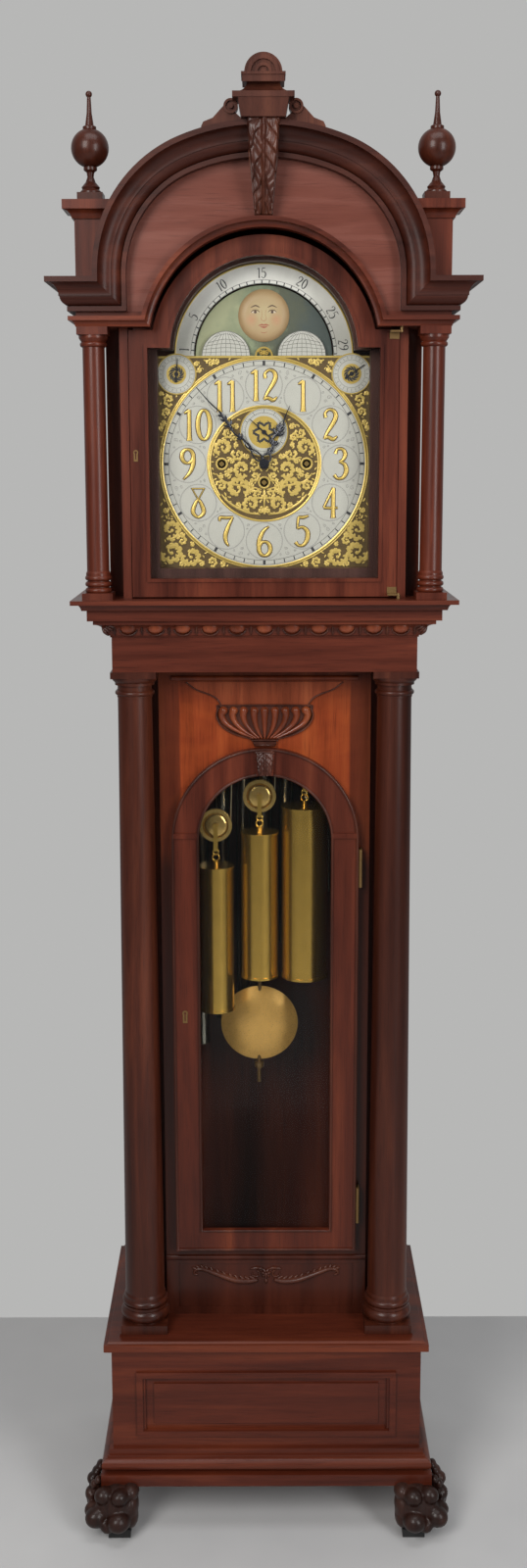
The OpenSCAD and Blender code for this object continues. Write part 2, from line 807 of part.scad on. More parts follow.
// The door's hinge knuckles and leaves, its lock case behind and its escutcheon in front
module trunk_door_fittings() {
  lock_x = -128;
  lock_z = 862;
  color(brass) {
    for (z = hinge_z) difference() {
      union() {
        upright(hinge_x, hinge_p) translate([0, 0, z + 20.1]) cylinder(h = 20.8, r = knuckle_r);
        cell([door_half, hinge_x - 1.7], [2, 11.4], [z + 1, z + 60]);
        cell([door_half, hinge_x], [11, hinge_p], [z + 20.1, z + 40.9]);
      }
      upright(hinge_x, hinge_p) translate([0, 0, z]) cylinder(h = 62, r = pin_r + 0.05);
    }
    cell([lock_x - 10, lock_x + 18], [-14, 0.4], [lock_z - 30, lock_z + 30]);
    difference() {
      slab(door_p, door_p + 0.8) union() {
        translate([lock_x, lock_z + 5]) circle(4.4);
        translate([lock_x - 3.6, lock_z - 11]) square([7.2, 14]);
      }
      slab(door_p - 1, door_p + 2) union() {
        translate([lock_x, lock_z + 5]) circle(2);
        translate([lock_x - 0.9, lock_z - 8]) square([1.8, 12]);
      }
    }
  }
}

// The plate is cut for the moon, the hand arbors and the winding squares
module dial_plate() {
  color(brass) {
    difference() {
      slab(dial_p - 2.5, dial_p) union() {
        translate([-dial_w / 2, dial_bottom]) square([dial_w, dial_top - dial_bottom]);
        translate([0, dial_top]) circle(moon_ring_r);
      }
      slab(dial_p - 4, dial_p + 1) difference() {
        translate([0, dial_top]) circle(moon_ring_r - 29);
        translate([-200, dial_top - 200]) square([400, 200]);
      }
      dial_holes(dial_p - 4, dial_p + 1);
    }
    for (x = [-88, 88], z = [dial_z - 77, dial_z + 81])
      facing(x, -33, z) cylinder(h = dial_p - 2.5 + 33, r = 3.5);
    difference() {
      union() {
        cell([-112, 112], [-7, -3], [dial_top - 8, dial_top + 8]);
        both_sides() cell([-118, -106], [-7, dial_p - 2.5], [dial_top - 8, dial_top + 8]);
      }
      facing(0, -10, dial_top) cylinder(h = 20, r = 3.05);
    }
  }
}

module dial_holes(p_back, p_front) {
  for (hole = [[0, 0, 6.2], [0, 46.4, 3], [-63.5, 0, 6.5], [63.5, 0, 6.5], [0, -27.5, 6.5],
      [-129.6, 130.5, 2.05], [129.6, 130.5, 2.05]])
    facing(hole[0], p_back, dial_z + hole[1]) cylinder(h = p_front - p_back, r = hole[2]);
}

// The gilt frets: the round centre and the four corner spandrels
module dial_frets() {
  color(gilt) difference() {
    slab(dial_p, dial_p + 1.2) {
      difference() {
        translate([0, dial_z]) circle(82.4);
        translate([0, dial_z - 26]) difference() {
          translate([-60, -58]) square([120, 30]);
          translate([0, 22]) circle(73);
        }
        translate([0, seconds_z]) circle(34.8);
      }
      difference() {
        translate([-dial_w / 2 + 2, dial_bottom + 2]) square([dial_w - 4, dial_top - dial_bottom - 3]);
        translate([0, dial_z]) circle(chapter_r + 0.4);
        both_sides() translate([-129.6, dial_z + 130.5]) circle(28.2);
      }
      intersection() {
        translate([0, dial_top]) circle(13);
        translate([-20, dial_top - 1]) square([40, 20]);
      }
    }
    dial_holes(dial_p - 1, dial_p + 3);
  }
}

// The silvered rings: chapters, seconds, the two small dials and the moon's age, with its humps
module dial_rings() {
  color(silvered) {
    slab(dial_p, dial_p + 2) {
      difference() {
        translate([0, dial_z]) circle(chapter_r);
        translate([0, dial_z]) circle(82.8);
      }
      translate([0, seconds_z]) difference() {
        circle(34.3);
        circle(3);
      }
      both_sides() translate([-129.6, dial_z + 130.5]) difference() {
        circle(27.8);
        circle(2.5);
      }
    }
    slab(dial_p, dial_p + 1.5) difference() {
      union() {
        difference() {
          translate([0, dial_top]) circle(moon_ring_r);
          translate([0, dial_top]) circle(moon_ring_r - 29);
        }
        both_sides() translate([-56, dial_top]) circle(35.8);
      }
      translate([-200, dial_top - 200]) square([400, 200.5]);
      translate([0, dial_top]) circle(13.4);
    }
  }
}

module moon_disc() {
  color([0.35, 0.45, 0.4]) {
    facing(0, 4.5, dial_top) cylinder(h = 1.5, r = moon_ring_r - 31);
    facing(0, -8, dial_top) cylinder(h = 13, r = 3);
    for (side = [-1, 1]) facing(0, 6, dial_top + side * 58) cylinder(h = 0.6, r = 37.7);
  }
}

// A pierced hand with a bulb, a waist and a pointed tip, drawn upright from the arbor
module hand_outline(length, width, boss) {
  difference() {
    union() {
      circle(boss);
      hull() {
        translate([0, length * 0.18]) circle(width * 0.4, $fn = 32);
        translate([0, length * 0.3]) circle(width, $fn = 32);
        translate([0, length * 0.44]) circle(width * 0.4, $fn = 32);
      }
      translate([-width * 0.3, 0]) square([width * 0.6, length * 0.5]);
      hull() {
        translate([0, length * 0.52]) circle(width * 0.8, $fn = 32);
        translate([0, length * 0.7]) circle(width * 0.25, $fn = 32);
      }
      polygon([[-width * 0.28, length * 0.6], [width * 0.28, length * 0.6], [0.4, length], [-0.4, length]]);
    }
    for (side = [-1, 1]) translate([side * width * 0.48, length * 0.3]) circle(width * 0.26);
  }
}

module hour_hand() {
  color(steel) {
    facing(0, 17, dial_z) difference() {
      linear_extrude(1.4) rotate(-24.5) hand_outline(93, 13, 7);
      translate([0, 0, -1]) cylinder(h = 5, r = 2.56);
    }
    facing(0, -30, dial_z) difference() {
      union() {
        cylinder(h = 47, r = 4.6);
        cylinder(h = 3, r = 22);
      }
      translate([0, 0, -1]) cylinder(h = 50, r = 2.56);
    }
  }
}

// The minute hand with its arbor and the centre wheel behind
module minute_hand() {
  color(steel) {
    facing(0, 22, dial_z) linear_extrude(1.4) rotate(42) hand_outline(151, 9, 6);
    facing(0, -104, dial_z) cylinder(h = 131, r = 2.5);
    facing(0, -40.4, dial_z) linear_extrude(2) difference() {
      circle(22);
      circle(2.55);
    }
  }
}

// The seconds hand with its arbor and the escape wheel, thirty teeth
module seconds_hand() {
  teeth = 30;
  color(steel) {
    facing(0, 15, seconds_z) linear_extrude(1) rotate(48) {
      circle(3.5);
      polygon([[-1.4, -9], [1.4, -9], [0.4, 29], [-0.4, 29]]);
    }
    facing(0, -104, seconds_z) cylinder(h = 120.3, r = 1.5);
    facing(0, -62, seconds_z) linear_extrude(2) {
      circle(13);
      for (i = [0 : teeth - 1]) rotate(i * 360 / teeth) polygon([[12, -1.2], [16, 0.9], [12, 1]]);
    }
  }
}

module small_hand(x, angle) {
  color(steel) {
    facing(x, 14.6, dial_z + 130.5) linear_extrude(1) rotate(angle) {
      circle(3.4);
      polygon([[-1.5, -12], [1.5, -12], [0.4, 23], [-0.4, 23]]);
    }
    facing(x, 2, dial_z + 130.5) cylinder(h = 13.4, r = 2);
  }
}

module silence_hand() { small_hand(-129.6, -5); }
module melody_hand() { small_hand(129.6, -55); }

// Two brass plates on four pillars, with the cable studs, the pendulum cock and the hammer rail
module movement_plates() {
  color(brass) {
    difference() {
      union() {
        cell([-112, 112], [-36, -33], [seat_z + 20, 1836]);
        cell([-112, 112], [-106, -103], [seat_z + 20, 1836]);
      }
      for (drum = drum_at) facing(drum[0], -110, drum[1]) cylinder(h = 80, r = 3.55);
      facing(0, -110, dial_z) cylinder(h = 80, r = 2.55);
      facing(0, -110, seconds_z) cylinder(h = 80, r = 1.55);
      facing(0, -110, pivot_z) cylinder(h = 80, r = 2.05);
    }
    for (x = [-96, 96], z = [seat_z + 30, 1826]) facing(x, -103, z) cylinder(h = 67, r = 5);
    for (i = [0 : 2]) facing(stud_x(i), -70, drum_at[i][1]) cylinder(h = 34, r = 2.6);
    difference() {
      union() {
        cell([-8, 8], [-124, -116], [pivot_z - 5, pivot_z + 18]);
        cell([-8, 8], [-140, -132], [pivot_z - 5, pivot_z + 18]);
        cell([-8, 8], [-140, -106], [pivot_z + 10, pivot_z + 18]);
      }
      facing(0, -141, pivot_z) cylinder(h = 26, r = 2.05);
    }
    translate([-162, at(-158), 1768]) rotate([0, 90, 0]) cylinder(h = 324, r = 3);
    for (x = [-84, 80]) cell([x, x + 4], [-164, -106], [1762, 1774]);
  }
}

// The seat board on its two cheeks, with slots for the cables
module seat_board() {
  color(warm_wood) {
    difference() {
      cell([-211, 211], [-118, -22], [seat_z, seat_z + 20]);
      for (i = [0 : 2])
        cell([weights[i][0] - pulley_r - 4, drum_at[i][0] + drum_r + 8], [-72, -56],
          [seat_z - 1, seat_z + 21]);
    }
    both_sides() cell([-211, -194], [-160, -46], [1395, seat_z]);
  }
}

// A cable drum with its great wheel and its winding square
module barrel(i, wheel_r) {
  x = drum_at[i][0];
  z = drum_at[i][1];
  color(brass) {
    facing(x, -92, z) difference() {
      cylinder(h = 48, r = drum_r);
      for (groove = [0 : 5]) translate([0, 0, 6 + groove * 7])
        rotate_extrude() translate([drum_r + 0.6, 0]) circle(1.6);
    }
    for (p = [-95, -44]) facing(x, p, z) cylinder(h = 3, r = drum_r + 2.5);
    facing(x, -99, z) cylinder(h = 3, r = wheel_r);
    facing(x, -108, z) cylinder(h = 112, r = 3.5);
    facing(x, 3.9, z) cylinder(h = 8, r = 4.2, $fn = 4);
  }
}

module going_barrel() { barrel(0, 24.4); }
module strike_barrel() { barrel(1, 31); }
module chime_barrel() { barrel(2, 31); }

// The pendulum and its anchor stand a little to the left, as in mid swing
module swung() {
  translate([0, 0, pivot_z]) rotate([0, swing, 0]) translate([0, 0, -pivot_z]) children();
}

// The anchor over the escape wheel, its arbor, and the crutch that drives the rod
module pallet_anchor() {
  crutch_z = pivot_z - 110;
  color(steel) swung() {
    facing(0, -112, pivot_z) cylinder(h = 78, r = 2);
    facing(0, -61, 0) linear_extrude(3) {
      translate([0, pivot_z]) circle(5);
      polygon([[-3, pivot_z + 2], [-25, seconds_z + 12], [-21, seconds_z + 6], [-16, seconds_z + 17],
        [0, pivot_z - 7], [16, seconds_z + 17], [21, seconds_z + 6], [25, seconds_z + 12], [3, pivot_z + 2]]);
    }
    cell([-2, 2], [-112, -109], [crutch_z, pivot_z + 3]);
    for (side = [-1, 1]) cell([side * 6 - 1.5, side * 6 + 1.5], [-134, -109], [crutch_z - 2, crutch_z + 2]);
    cell([-7.5, 7.5], [-112, -109], [crutch_z - 2, crutch_z + 2]);
  }
}

module pendulum_rod() {
  color(steel) swung() {
    facing(0, -139, pivot_z) cylinder(h = 22, r = 2);
    cell([-4, 4], [-129, -127], [pivot_z - 60, pivot_z + 3]);
    upright(0, pendulum_p) translate([0, 0, 697]) cylinder(h = pivot_z - 40 - 697, r = 3.2);
    upright(0, pendulum_p) translate([0, 0, 724]) cylinder(h = 9, r = 8);
  }
}

// A lens-shaped disc on the rod
module pendulum_bob() {
  half_lens = [[0, 12], [16, 11.6], [32, 9.6], [46, 6.4], [57, 2.9], [63, 0.9], [64.6, 0]];
  color(brass) swung() difference() {
    facing(0, pendulum_p, bob_z) rotate_extrude() polygon(concat(half_lens,
      [for (i = [5 : -1 : 0]) [half_lens[i][0], -half_lens[i][1]]]));
    upright(0, pendulum_p) translate([0, 0, 700]) cylinder(h = 220, r = 3.2);
  }
}

// One straight strand from the pulley's side at x0, z0 up to x1, z1
module strand(x0, x1, z0, z1) {
  lean = atan((x1 - x0) / (z1 - z0));
  upright(x0, weight_p) translate([0, 0, z0]) rotate([0, lean, 0])
    cylinder(h = (z1 - z0) / cos(lean), r = cable_r);
}

// Two strands from one pulley, clear of the turn round it: up to the fixed stud, and up to the drum
module cable(i) {
  x = weights[i][0];
  z = weights[i][1];
  top = drum_at[i][1];
  groove = pulley_r - 2;
  color([0.6, 0.55, 0.4]) {
    strand(x - groove, stud_x(i), z + 0.3, top - 3);
    strand(x + groove, drum_at[i][0] + drum_r + 1, z + 0.3, top);
  }
}

module going_cable() { cable(0); }
module strike_cable() { cable(1); }
module chime_cable() { cable(2); }

// A grooved pulley with a dished web, turning on its own axle hole
module pulley(i) {
  color(brass) facing(weights[i][0], weight_p, weights[i][1]) rotate_extrude() difference() {
    translate([2.05, -4]) square([pulley_r - 2.05, 8]);
    translate([pulley_r, 0]) circle(3);
    translate([8, 2.4]) square([13, 3]);
    translate([8, -5.4]) square([13, 3]);
  }
}

module going_pulley() { pulley(0); }
module strike_pulley() { pulley(1); }
module chime_pulley() { pulley(2); }

// A weight with its end caps, stud, hook, pulley stirrup and axle, and the cable's turn below
module weight(i) {
  x = weights[i][0];
  z = weights[i][1];
  r = weights[i][2];
  top = z - weights[i][3];
  groove = pulley_r - 2;
  color(brass) {
    upright(x, weight_p) translate([0, 0, top - weights[i][4]]) {
      cylinder(h = weights[i][4], r = r);
      cylinder(h = 4, r = r + 1.2);
      translate([0, 0, weights[i][4] - 4]) cylinder(h = 4, r = r + 1.2);
      translate([0, 0, weights[i][4]]) cylinder(h = 7, r = 5);
    }
    facing(x, weight_p - 1.5, top + 13) rotate_extrude() translate([5.5, 1.5]) circle(1.6);
    facing(x, weight_p - 1.5, top + 22) rotate_extrude() translate([4.5, 1.5]) circle(1.6);
    cell([x - 3.5, x + 3.5], [weight_p - 7, weight_p + 7], [top + 24, top + 28]);
    for (p = [weight_p - 7, weight_p + 5]) cell([x - 3.5, x + 3.5], [p, p + 2], [top + 24, z + 4]);
    facing(x, weight_p - 9, z) cylinder(h = 18, r = 2);
    facing(x, weight_p + 7, z) cylinder(h = 2.5, r = 4.5);
    facing(x, weight_p, z) difference() {
      rotate_extrude() translate([groove + 0.9, 0]) circle(cable_r);
      translate([-40, 0, -10]) cube([80, 40, 20]);
    }
  }
}

module going_weight() { weight(0); }
module strike_weight() { weight(1); }
module chime_weight() { weight(2); }

// The bells hang from a rail on two brackets at the back of the hood
module tube_bells() {
  pitch = 36;
  tube_r = 12.5;
  color(silvered) {
    for (i = [0 : bells - 1]) {
      x = (i - (bells - 1) / 2) * pitch;
      upright(x, bell_p) translate([0, 0, 700 + 45 * i]) difference() {
        cylinder(h = 1825 - 700 - 45 * i, r = tube_r);
        translate([0, 0, -1]) cylinder(h = 1827 - 700 - 45 * i, r = tube_r - 1.4);
      }
      cell([x - 13, x + 13], [bell_p - 1, bell_p + 1], [1812, 1815]);
      cell([x - 1, x + 1], [bell_p - 1, bell_p + 1], [1815, 1842]);
    }
    cell([-170, 170], [bell_p - 8, bell_p + 8], [1842, 1856]);
    both_sides() cell([-170, -154], [at(0) - hood_back_y, bell_p - 8], [1842, 1856]);
  }
}

// One hammer in front of each bell, on the movement's rail
module bell_hammers() {
  pitch = 36;
  color(steel) for (i = [0 : bells - 1]) {
    x = (i - (bells - 1) / 2) * pitch;
    difference() {
      union() {
        translate([x - 4, at(-158), 1768]) rotate([0, 90, 0]) cylinder(h = 8, r = 6);
        cell([x - 1.5, x + 1.5], [-159.5, -156.5], [1770, 1806]);
        facing(x, -172, 1806) cylinder(h = 16, r = 6);
      }
      translate([x - 10, at(-158), 1768]) rotate([0, 90, 0]) cylinder(h = 20, r = 3.06);
    }
  }
}

feet();
foot_pads();
base_moulding();
plinth_front();
plinth_sides();
plinth_top();
backboard();
trunk_front();
trunk_carvings();
trunk_sides();
columns();
frieze();
hood_base();
hood_frame();
hood_mask();
hood_sides();
tympanum();
arch_cornice();
architrave();
hood_roof();
finial_blocks();
finials();
crest();
keystone();
colonettes();
case_hinges();
hood_door_frame();
hood_door_glass();
hood_door_fittings();
trunk_door_frame();
trunk_door_glass();
trunk_door_fittings();
dial_plate();
dial_frets();
dial_rings();
moon_disc();
hour_hand();
minute_hand();
seconds_hand();
silence_hand();
melody_hand();
movement_plates();
seat_board();
going_barrel();
strike_barrel();
chime_barrel();
pallet_anchor();
pendulum_rod();
pendulum_bob();
going_cable();
strike_cable();
chime_cable();
going_pulley();
strike_pulley();
chime_pulley();
going_weight();
strike_weight();
chime_weight();
tube_bells();
bell_hammers();
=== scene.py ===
import bpy, bmesh, json, random
from math import sin, cos, pi, radians, atan2, hypot, sqrt
from mathutils import Vector, Matrix


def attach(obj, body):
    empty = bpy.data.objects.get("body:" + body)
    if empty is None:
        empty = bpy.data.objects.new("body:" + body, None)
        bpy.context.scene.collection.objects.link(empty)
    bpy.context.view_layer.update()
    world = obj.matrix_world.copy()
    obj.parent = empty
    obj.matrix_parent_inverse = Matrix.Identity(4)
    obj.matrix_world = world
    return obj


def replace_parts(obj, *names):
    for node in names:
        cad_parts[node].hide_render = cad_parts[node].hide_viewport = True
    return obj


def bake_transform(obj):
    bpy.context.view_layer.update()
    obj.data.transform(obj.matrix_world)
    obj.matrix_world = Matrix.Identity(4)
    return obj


# Lengths are in millimetres unless said otherwise. P is a projection in front of the trunk's face
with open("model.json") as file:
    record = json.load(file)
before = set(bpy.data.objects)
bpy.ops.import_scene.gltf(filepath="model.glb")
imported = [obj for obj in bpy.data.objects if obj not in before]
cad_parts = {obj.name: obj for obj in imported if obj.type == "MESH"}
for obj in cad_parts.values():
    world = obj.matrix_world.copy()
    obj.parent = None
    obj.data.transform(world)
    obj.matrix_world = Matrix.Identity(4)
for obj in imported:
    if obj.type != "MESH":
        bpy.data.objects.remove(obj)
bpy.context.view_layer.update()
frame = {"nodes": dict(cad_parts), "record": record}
MM = 0.001
FACE_Y = -54.0
DIAL_Z, DIAL_P = 1727.0, 11.0  # middle of the hands, front of the dial plate
DIAL_TOP = DIAL_Z + 156.5  # middle of the moon's arch
SECONDS_Z = DIAL_Z + 46.4
PIVOT_Z, BOB_DROP, SWING = 1808.0, 1006.0, radians(0.56)
ALONG_X, ALONG_Y, ALONG_Z = 0, 1, 2  # ways that a grain can run


def at(p):
    """Y in millimetres of a projection p in front of the trunk's face."""
    return FACE_Y - p


# ---------------- materials

class Nodes:
    """Short helpers that add nodes to a tree and wire them."""

    def __init__(self, tree):
        self.tree = tree

    def node(self, kind, **inputs):
        n = self.tree.nodes.new("ShaderNode" + kind)
        for key, value in inputs.items():
            if hasattr(n, key):
                setattr(n, key, value)
            else:
                self.put(n.inputs[key.replace("_", " ")], value)
        return n

    def put(self, socket, value):
        if hasattr(value, "is_output"):
            self.tree.links.new(value, socket)
        else:
            socket.default_value = value

    def ramp(self, fac, stops):
        n = self.node("ValToRGB")
        self.put(n.inputs["Fac"], fac)
        e = n.color_ramp.elements
        while len(e) < len(stops):
            e.new(0.5)
        for el, (pos, col) in zip(e, stops):
            el.position = pos
            el.color = (*col, 1.0)
        return n.outputs["Color"]

    def grey(self, fac, lo, hi, a=0.3, b=0.7):
        """Map a to b onto lo to hi, held at both ends."""
        n = self.node("MapRange")
        self.put(n.inputs["Value"], fac)
        for key, v in (("From Min", a), ("From Max", b), ("To Min", lo), ("To Max", hi)):
            n.inputs[key].default_value = v
        return n.outputs["Result"]

    def mix(self, fac, a, b):
        n = self.node("Mix", data_type="RGBA")
        self.put(n.inputs[0], fac)
        for socket, value in ((n.inputs[6], a), (n.inputs[7], b)):
            self.put(socket, (*value, 1.0) if isinstance(value, tuple) else value)
        return n.outputs[2]

    def math(self, op, a, b=0.0):
        n = self.node("Math", operation=op)
        self.put(n.inputs[0], a)
        self.put(n.inputs[1], b)
        return n.outputs[0]


class Shader(Nodes):
    """A material built from nodes."""

    def __init__(self, name):
        self.mat = bpy.data.materials.new(name)
        self.mat.use_nodes = True
        super().__init__(self.mat.node_tree)
        self.bsdf = self.tree.nodes["Principled BSDF"]
        self.coord = self.node("TexCoord").outputs["Object"]

    def place(self, scale=(1, 1, 1)):
        m = self.node("Mapping")
        self.put(m.inputs["Vector"], self.coord)
        m.inputs["Scale"].default_value = scale
        return m.outputs["Vector"]

    def axis(self, letter):
        """One coordinate of the surface point, in metres."""
        split = self.node("SeparateXYZ")
        self.put(split.inputs[0], self.coord)
        return split.outputs[letter]

    def noise(self, vector, scale, detail, rough=0.5, distort=0.0):
        n = self.node("TexNoise", Scale=scale, Detail=detail, Roughness=rough, Distortion=distort)
        self.put(n.inputs["Vector"], vector)
        return n.outputs["Fac"]

    def bump(self, height, strength, distance):
        n = self.node("Bump", Strength=strength, Distance=distance)
        self.put(n.inputs["Height"], height)
        self.put(self.bsdf.inputs["Normal"], n.outputs["Normal"])

    def set(self, **inputs):
        for key, value in inputs.items():
            if isinstance(value, tuple):
                value = (*value, 1.0)
            self.put(self.bsdf.inputs[key.replace("_", " ")], value)
        return self.mat


PAINTED_FRIEZE_SHADE, DARK_STILE = (1.345, 1.415), (0.130, 0.1335)  # start and end of the painted shade under the frieze, then of the darker stiles, in metres


def wood(name, grain, tones, figure=0.0, gloss=0.3, coat=0.1, band=0.0, low=None, relief=0.04):
    """Polished timber in three tones. With low, it is darker below and at the stiles, and has painted shade
    at the top under the frieze.
    """
    s = Shader(name)
    dark, mid, light = tones

    def streaks(across, along, *noise):
        scale = [across] * 3
        scale[grain] = along
        return s.noise(s.place(tuple(scale)), 1.0, *noise)
    fibre = streaks(26.0, 1.6, 6.0, 0.62, 0.4)
    pores = streaks(900.0, 22.0, 2.0)
    col = s.ramp(fibre, [(0.30, dark), (0.52, mid), (0.74, light)])
    if band:
        broad = streaks(6.0, 0.7, 2.0, 0.5, 0.8)
        col = s.mix(s.grey(broad, 0.0, band), col, tuple(0.42 * c for c in mid))
    if figure:
        flame = streaks(7.0, 16.0, 2.0, 0.5, 2.2)
        col = s.mix(s.grey(flame, 0.0, figure, 0.40, 0.68), col, light)
    if low:
        start, end, deep, pale = low
        # Darker towards the bottom and at the stiles, with painted shade towards the top under the frieze's
        # overhang
        darkening = s.grey(s.axis("Z"), 1.0, 0.0, start, end)
        darkening = s.math("MAXIMUM", darkening, s.grey(s.axis("Z"), 0.0, 0.75, *PAINTED_FRIEZE_SHADE))
        darkening = s.math("MAXIMUM", darkening, s.grey(s.math("ABSOLUTE", s.axis("X")), 0.0, 0.7, *DARK_STILE))
        col = s.mix(darkening, col, s.ramp(fibre, [(0.30, deep), (0.74, pale)]))
    col = s.mix(s.grey(pores, 0.0, 0.45, 0.56, 0.72), col, tuple(0.35 * c for c in dark))
    s.bump(s.math("ADD", fibre, s.math("MULTIPLY", pores, 0.6)), relief, 0.0006)
    return s.set(Base_Color=col, Roughness=s.grey(fibre, gloss, gloss + 0.13), Coat_Weight=coat,
                 Coat_Roughness=0.12, Specular_IOR_Level=0.2)


def metal(name, colour, rough, stain=0.25, brushed=(1, 1, 1), bump=0.02, metallic=1.0):
    """Metal with cloudy stains: a little uneven with a bump, and smooth without."""
    s = Shader(name)
    cloud = s.noise(s.place(), 38.0, 4.0, 0.6)
    fine = s.noise(s.place(brushed), 900.0, 3.0, 0.6)
    col = s.mix(s.grey(cloud, 0.0, stain, 0.35, 0.75), colour, tuple(c * 0.62 for c in colour))
    lo, hi = (0.8, 1.25) if bump else (0.96, 1.04)
    if bump:
        s.bump(fine, bump, 0.0002)
    return s.set(Base_Color=col, Metallic=metallic, Roughness=s.grey(fine, rough * lo, rough * hi))


def paint(name, colour, rough=0.5, vary=0.25, scale=40.0, other=None):
    s = Shader(name)
    cloud = s.noise(s.place(), scale, 4.0, 0.6)
    col = s.mix(s.grey(cloud, 0.0, vary), colour, other or tuple(c * 0.6 for c in colour))
    s.bump(s.noise(s.place(), 500.0, 2.0), 0.05, 0.0004)
    return s.set(Base_Color=col, Roughness=s.grey(cloud, rough, rough + 0.1))


def silver_dial():
    """Silvered brass, with painted light that makes it brighter towards the top of the arch."""
    s = Shader("silvered_brass")
    cloud = s.noise(s.place(), 38.0, 4.0, 0.6)
    # Painted light: the silvering grows paler towards the top of the arch
    painted_arch_light = s.grey(s.axis("Z"), 0.0, 1.0, (DIAL_TOP + 20) * MM, (DIAL_TOP + 105) * MM)
    col = s.mix(painted_arch_light, (0.50, 0.50, 0.44), (0.86, 0.86, 0.79))
    col = s.mix(s.grey(cloud, 0.0, 0.25, 0.35, 0.75), col, (0.31, 0.31, 0.27))
    return s.set(Base_Color=col, Metallic=0.15, Roughness=s.grey(cloud, 0.4, 0.5))


def landscape():
    """A painted evening scene: pale meadow on the left, dark trees on the right."""
    s = Shader("moon_ground")
    cloud = s.noise(s.place(), 30.0, 4.0, 0.6)
    across = s.math("ADD", s.grey(s.axis("X"), 0.0, 1.0, -0.09, 0.09), s.grey(cloud, -0.16, 0.16))
    col = s.ramp(across, [(0.12, (0.33, 0.35, 0.20)), (0.42, (0.20, 0.24, 0.14)),
                          (0.60, (0.085, 0.095, 0.055)), (0.88, (0.055, 0.075, 0.065))])
    return s.set(Base_Color=col, Roughness=s.grey(cloud, 0.45, 0.55))


def glass_material():
    s = Shader("clear_glass")
    haze = s.noise(s.place(), 9.0, 2.0)
    return s.set(Base_Color=(0.02, 0.022, 0.022), Roughness=s.grey(haze, 0.02, 0.06), Alpha=0.07, IOR=1.45)


RED = (0.030, 0.0052, 0.0026), (0.084, 0.0155, 0.0066), (0.160, 0.034, 0.0125)
PANEL = (0.085, 0.013, 0.0032), (0.205, 0.033, 0.0075), (0.31, 0.066, 0.013)
wood_z = wood("mahogany_upright", ALONG_Z, RED, band=0.5)
wood_x = wood("mahogany_across", ALONG_X, RED, band=0.5)
wood_y = wood("mahogany_side", ALONG_Y, RED, band=0.5)
wood_panel = wood("mahogany_panel", ALONG_Z, PANEL, figure=0.25, gloss=0.26, band=0.3)
# The trunk's front: darker below and at the stiles, with painted shade under the frieze
wood_trunk = wood("mahogany_trunk", ALONG_Z, PANEL, figure=0.25, gloss=0.26, band=0.3,
                  low=(1.10, 1.22, (0.016, 0.0034, 0.0019), (0.062, 0.0125, 0.0055)))
# A darker copy of the mahogany for the columns and finials, with painted shade for their round sides
wood_turned_shaded = wood("mahogany_turned_painted_shade", ALONG_Z, ((0.016, 0.0034, 0.0018), (0.046, 0.0098, 0.0044),
                   (0.10, 0.024, 0.010)), band=0.4, relief=0.008)
wood_crown = wood("mahogany_crown", ALONG_X, ((0.105, 0.030, 0.020), (0.14, 0.046, 0.033),
                  (0.18, 0.068, 0.050)), gloss=0.22, coat=0.6)
wood_arch = wood("mahogany_arch", ALONG_X, ((0.016, 0.0030, 0.0016), (0.044, 0.0088, 0.0042),
                 (0.085, 0.019, 0.0085)), gloss=0.36, coat=0.0, band=0.4)
# A lighter copy of the carved mahogany, with painted highlight for the bowl's lobes and the eggs; the field
# over the bowl uses it too
wood_painted_highlight = wood("mahogany_painted_highlight", ALONG_Z, ((0.07, 0.014, 0.005), (0.15, 0.031, 0.011),
                 (0.24, 0.06, 0.02)), gloss=0.24, coat=0.3)
wood_carved = wood("mahogany_carved", ALONG_Z, ((0.020, 0.006, 0.004), (0.052, 0.015, 0.009),
                   (0.10, 0.030, 0.015)))
wood_foot = wood("mahogany_feet", ALONG_Z, ((0.008, 0.003, 0.002), (0.020, 0.0068, 0.0045),
                 (0.045, 0.016, 0.010)), gloss=0.36)
wood_reveal = wood("dark_reveal", ALONG_Z, ((0.030, 0.012, 0.009), (0.058, 0.023, 0.017),
                   (0.09, 0.038, 0.027)), gloss=0.4)
brass = metal("polished_brass", (0.62, 0.42, 0.13), 0.22, metallic=0.85, bump=0)
brass_bob = metal("bob_brass", (0.78, 0.46, 0.12), 0.3, 0.4, metallic=0.55)
brass_weight = metal("weight_brass", (0.64, 0.41, 0.085), 0.25, 0.3, (1, 1, 0.03), metallic=0.95, bump=0)
brass_dark = metal("fitting_brass", (0.17, 0.10, 0.035), 0.36, 0.5, metallic=0.6)
brass_soft = metal("brass_satin", (0.50, 0.32, 0.11), 0.36, 0.35, metallic=0.7)
gilt_flat = metal("fret_gilding", (0.63, 0.46, 0.12), 0.36, 0.3, metallic=0.35)
gilt = metal("gilding", (0.60, 0.43, 0.10), 0.34, 0.3, bump=0.2, metallic=0.4)
steel = metal("ground_steel", (0.55, 0.55, 0.57), 0.3)
blued = metal("blued_steel", (0.020, 0.021, 0.028), 0.3, 0.3, metallic=0.4)
nickel = metal("nickel_tube", (0.30, 0.29, 0.235), 0.26, 0.3, (1, 1, 0.05), bump=0)
cable_metal = metal("cable_wire", (0.62, 0.5, 0.3), 0.35)
pad_black = paint("pad_felt", (0.012, 0.012, 0.012), 0.7)
plate_brown = paint("dial_ground", (0.105, 0.062, 0.009), 0.5, 0.5, 160.0, (0.045, 0.026, 0.004))

SLOTS = {
    "mahogany": wood_z, "dark_carving": wood_foot, "figured_panel": wood_panel, "dark_wood": wood_reveal,
    "foot_pad": pad_black, "brass": brass, "gilt": gilt, "silvered": silver_dial(), "cable": cable_metal,
    "painted_moon": landscape(), "blued_steel": blued, "steel": steel, "nickel_tube": nickel,
    "glass": glass_material(),
}
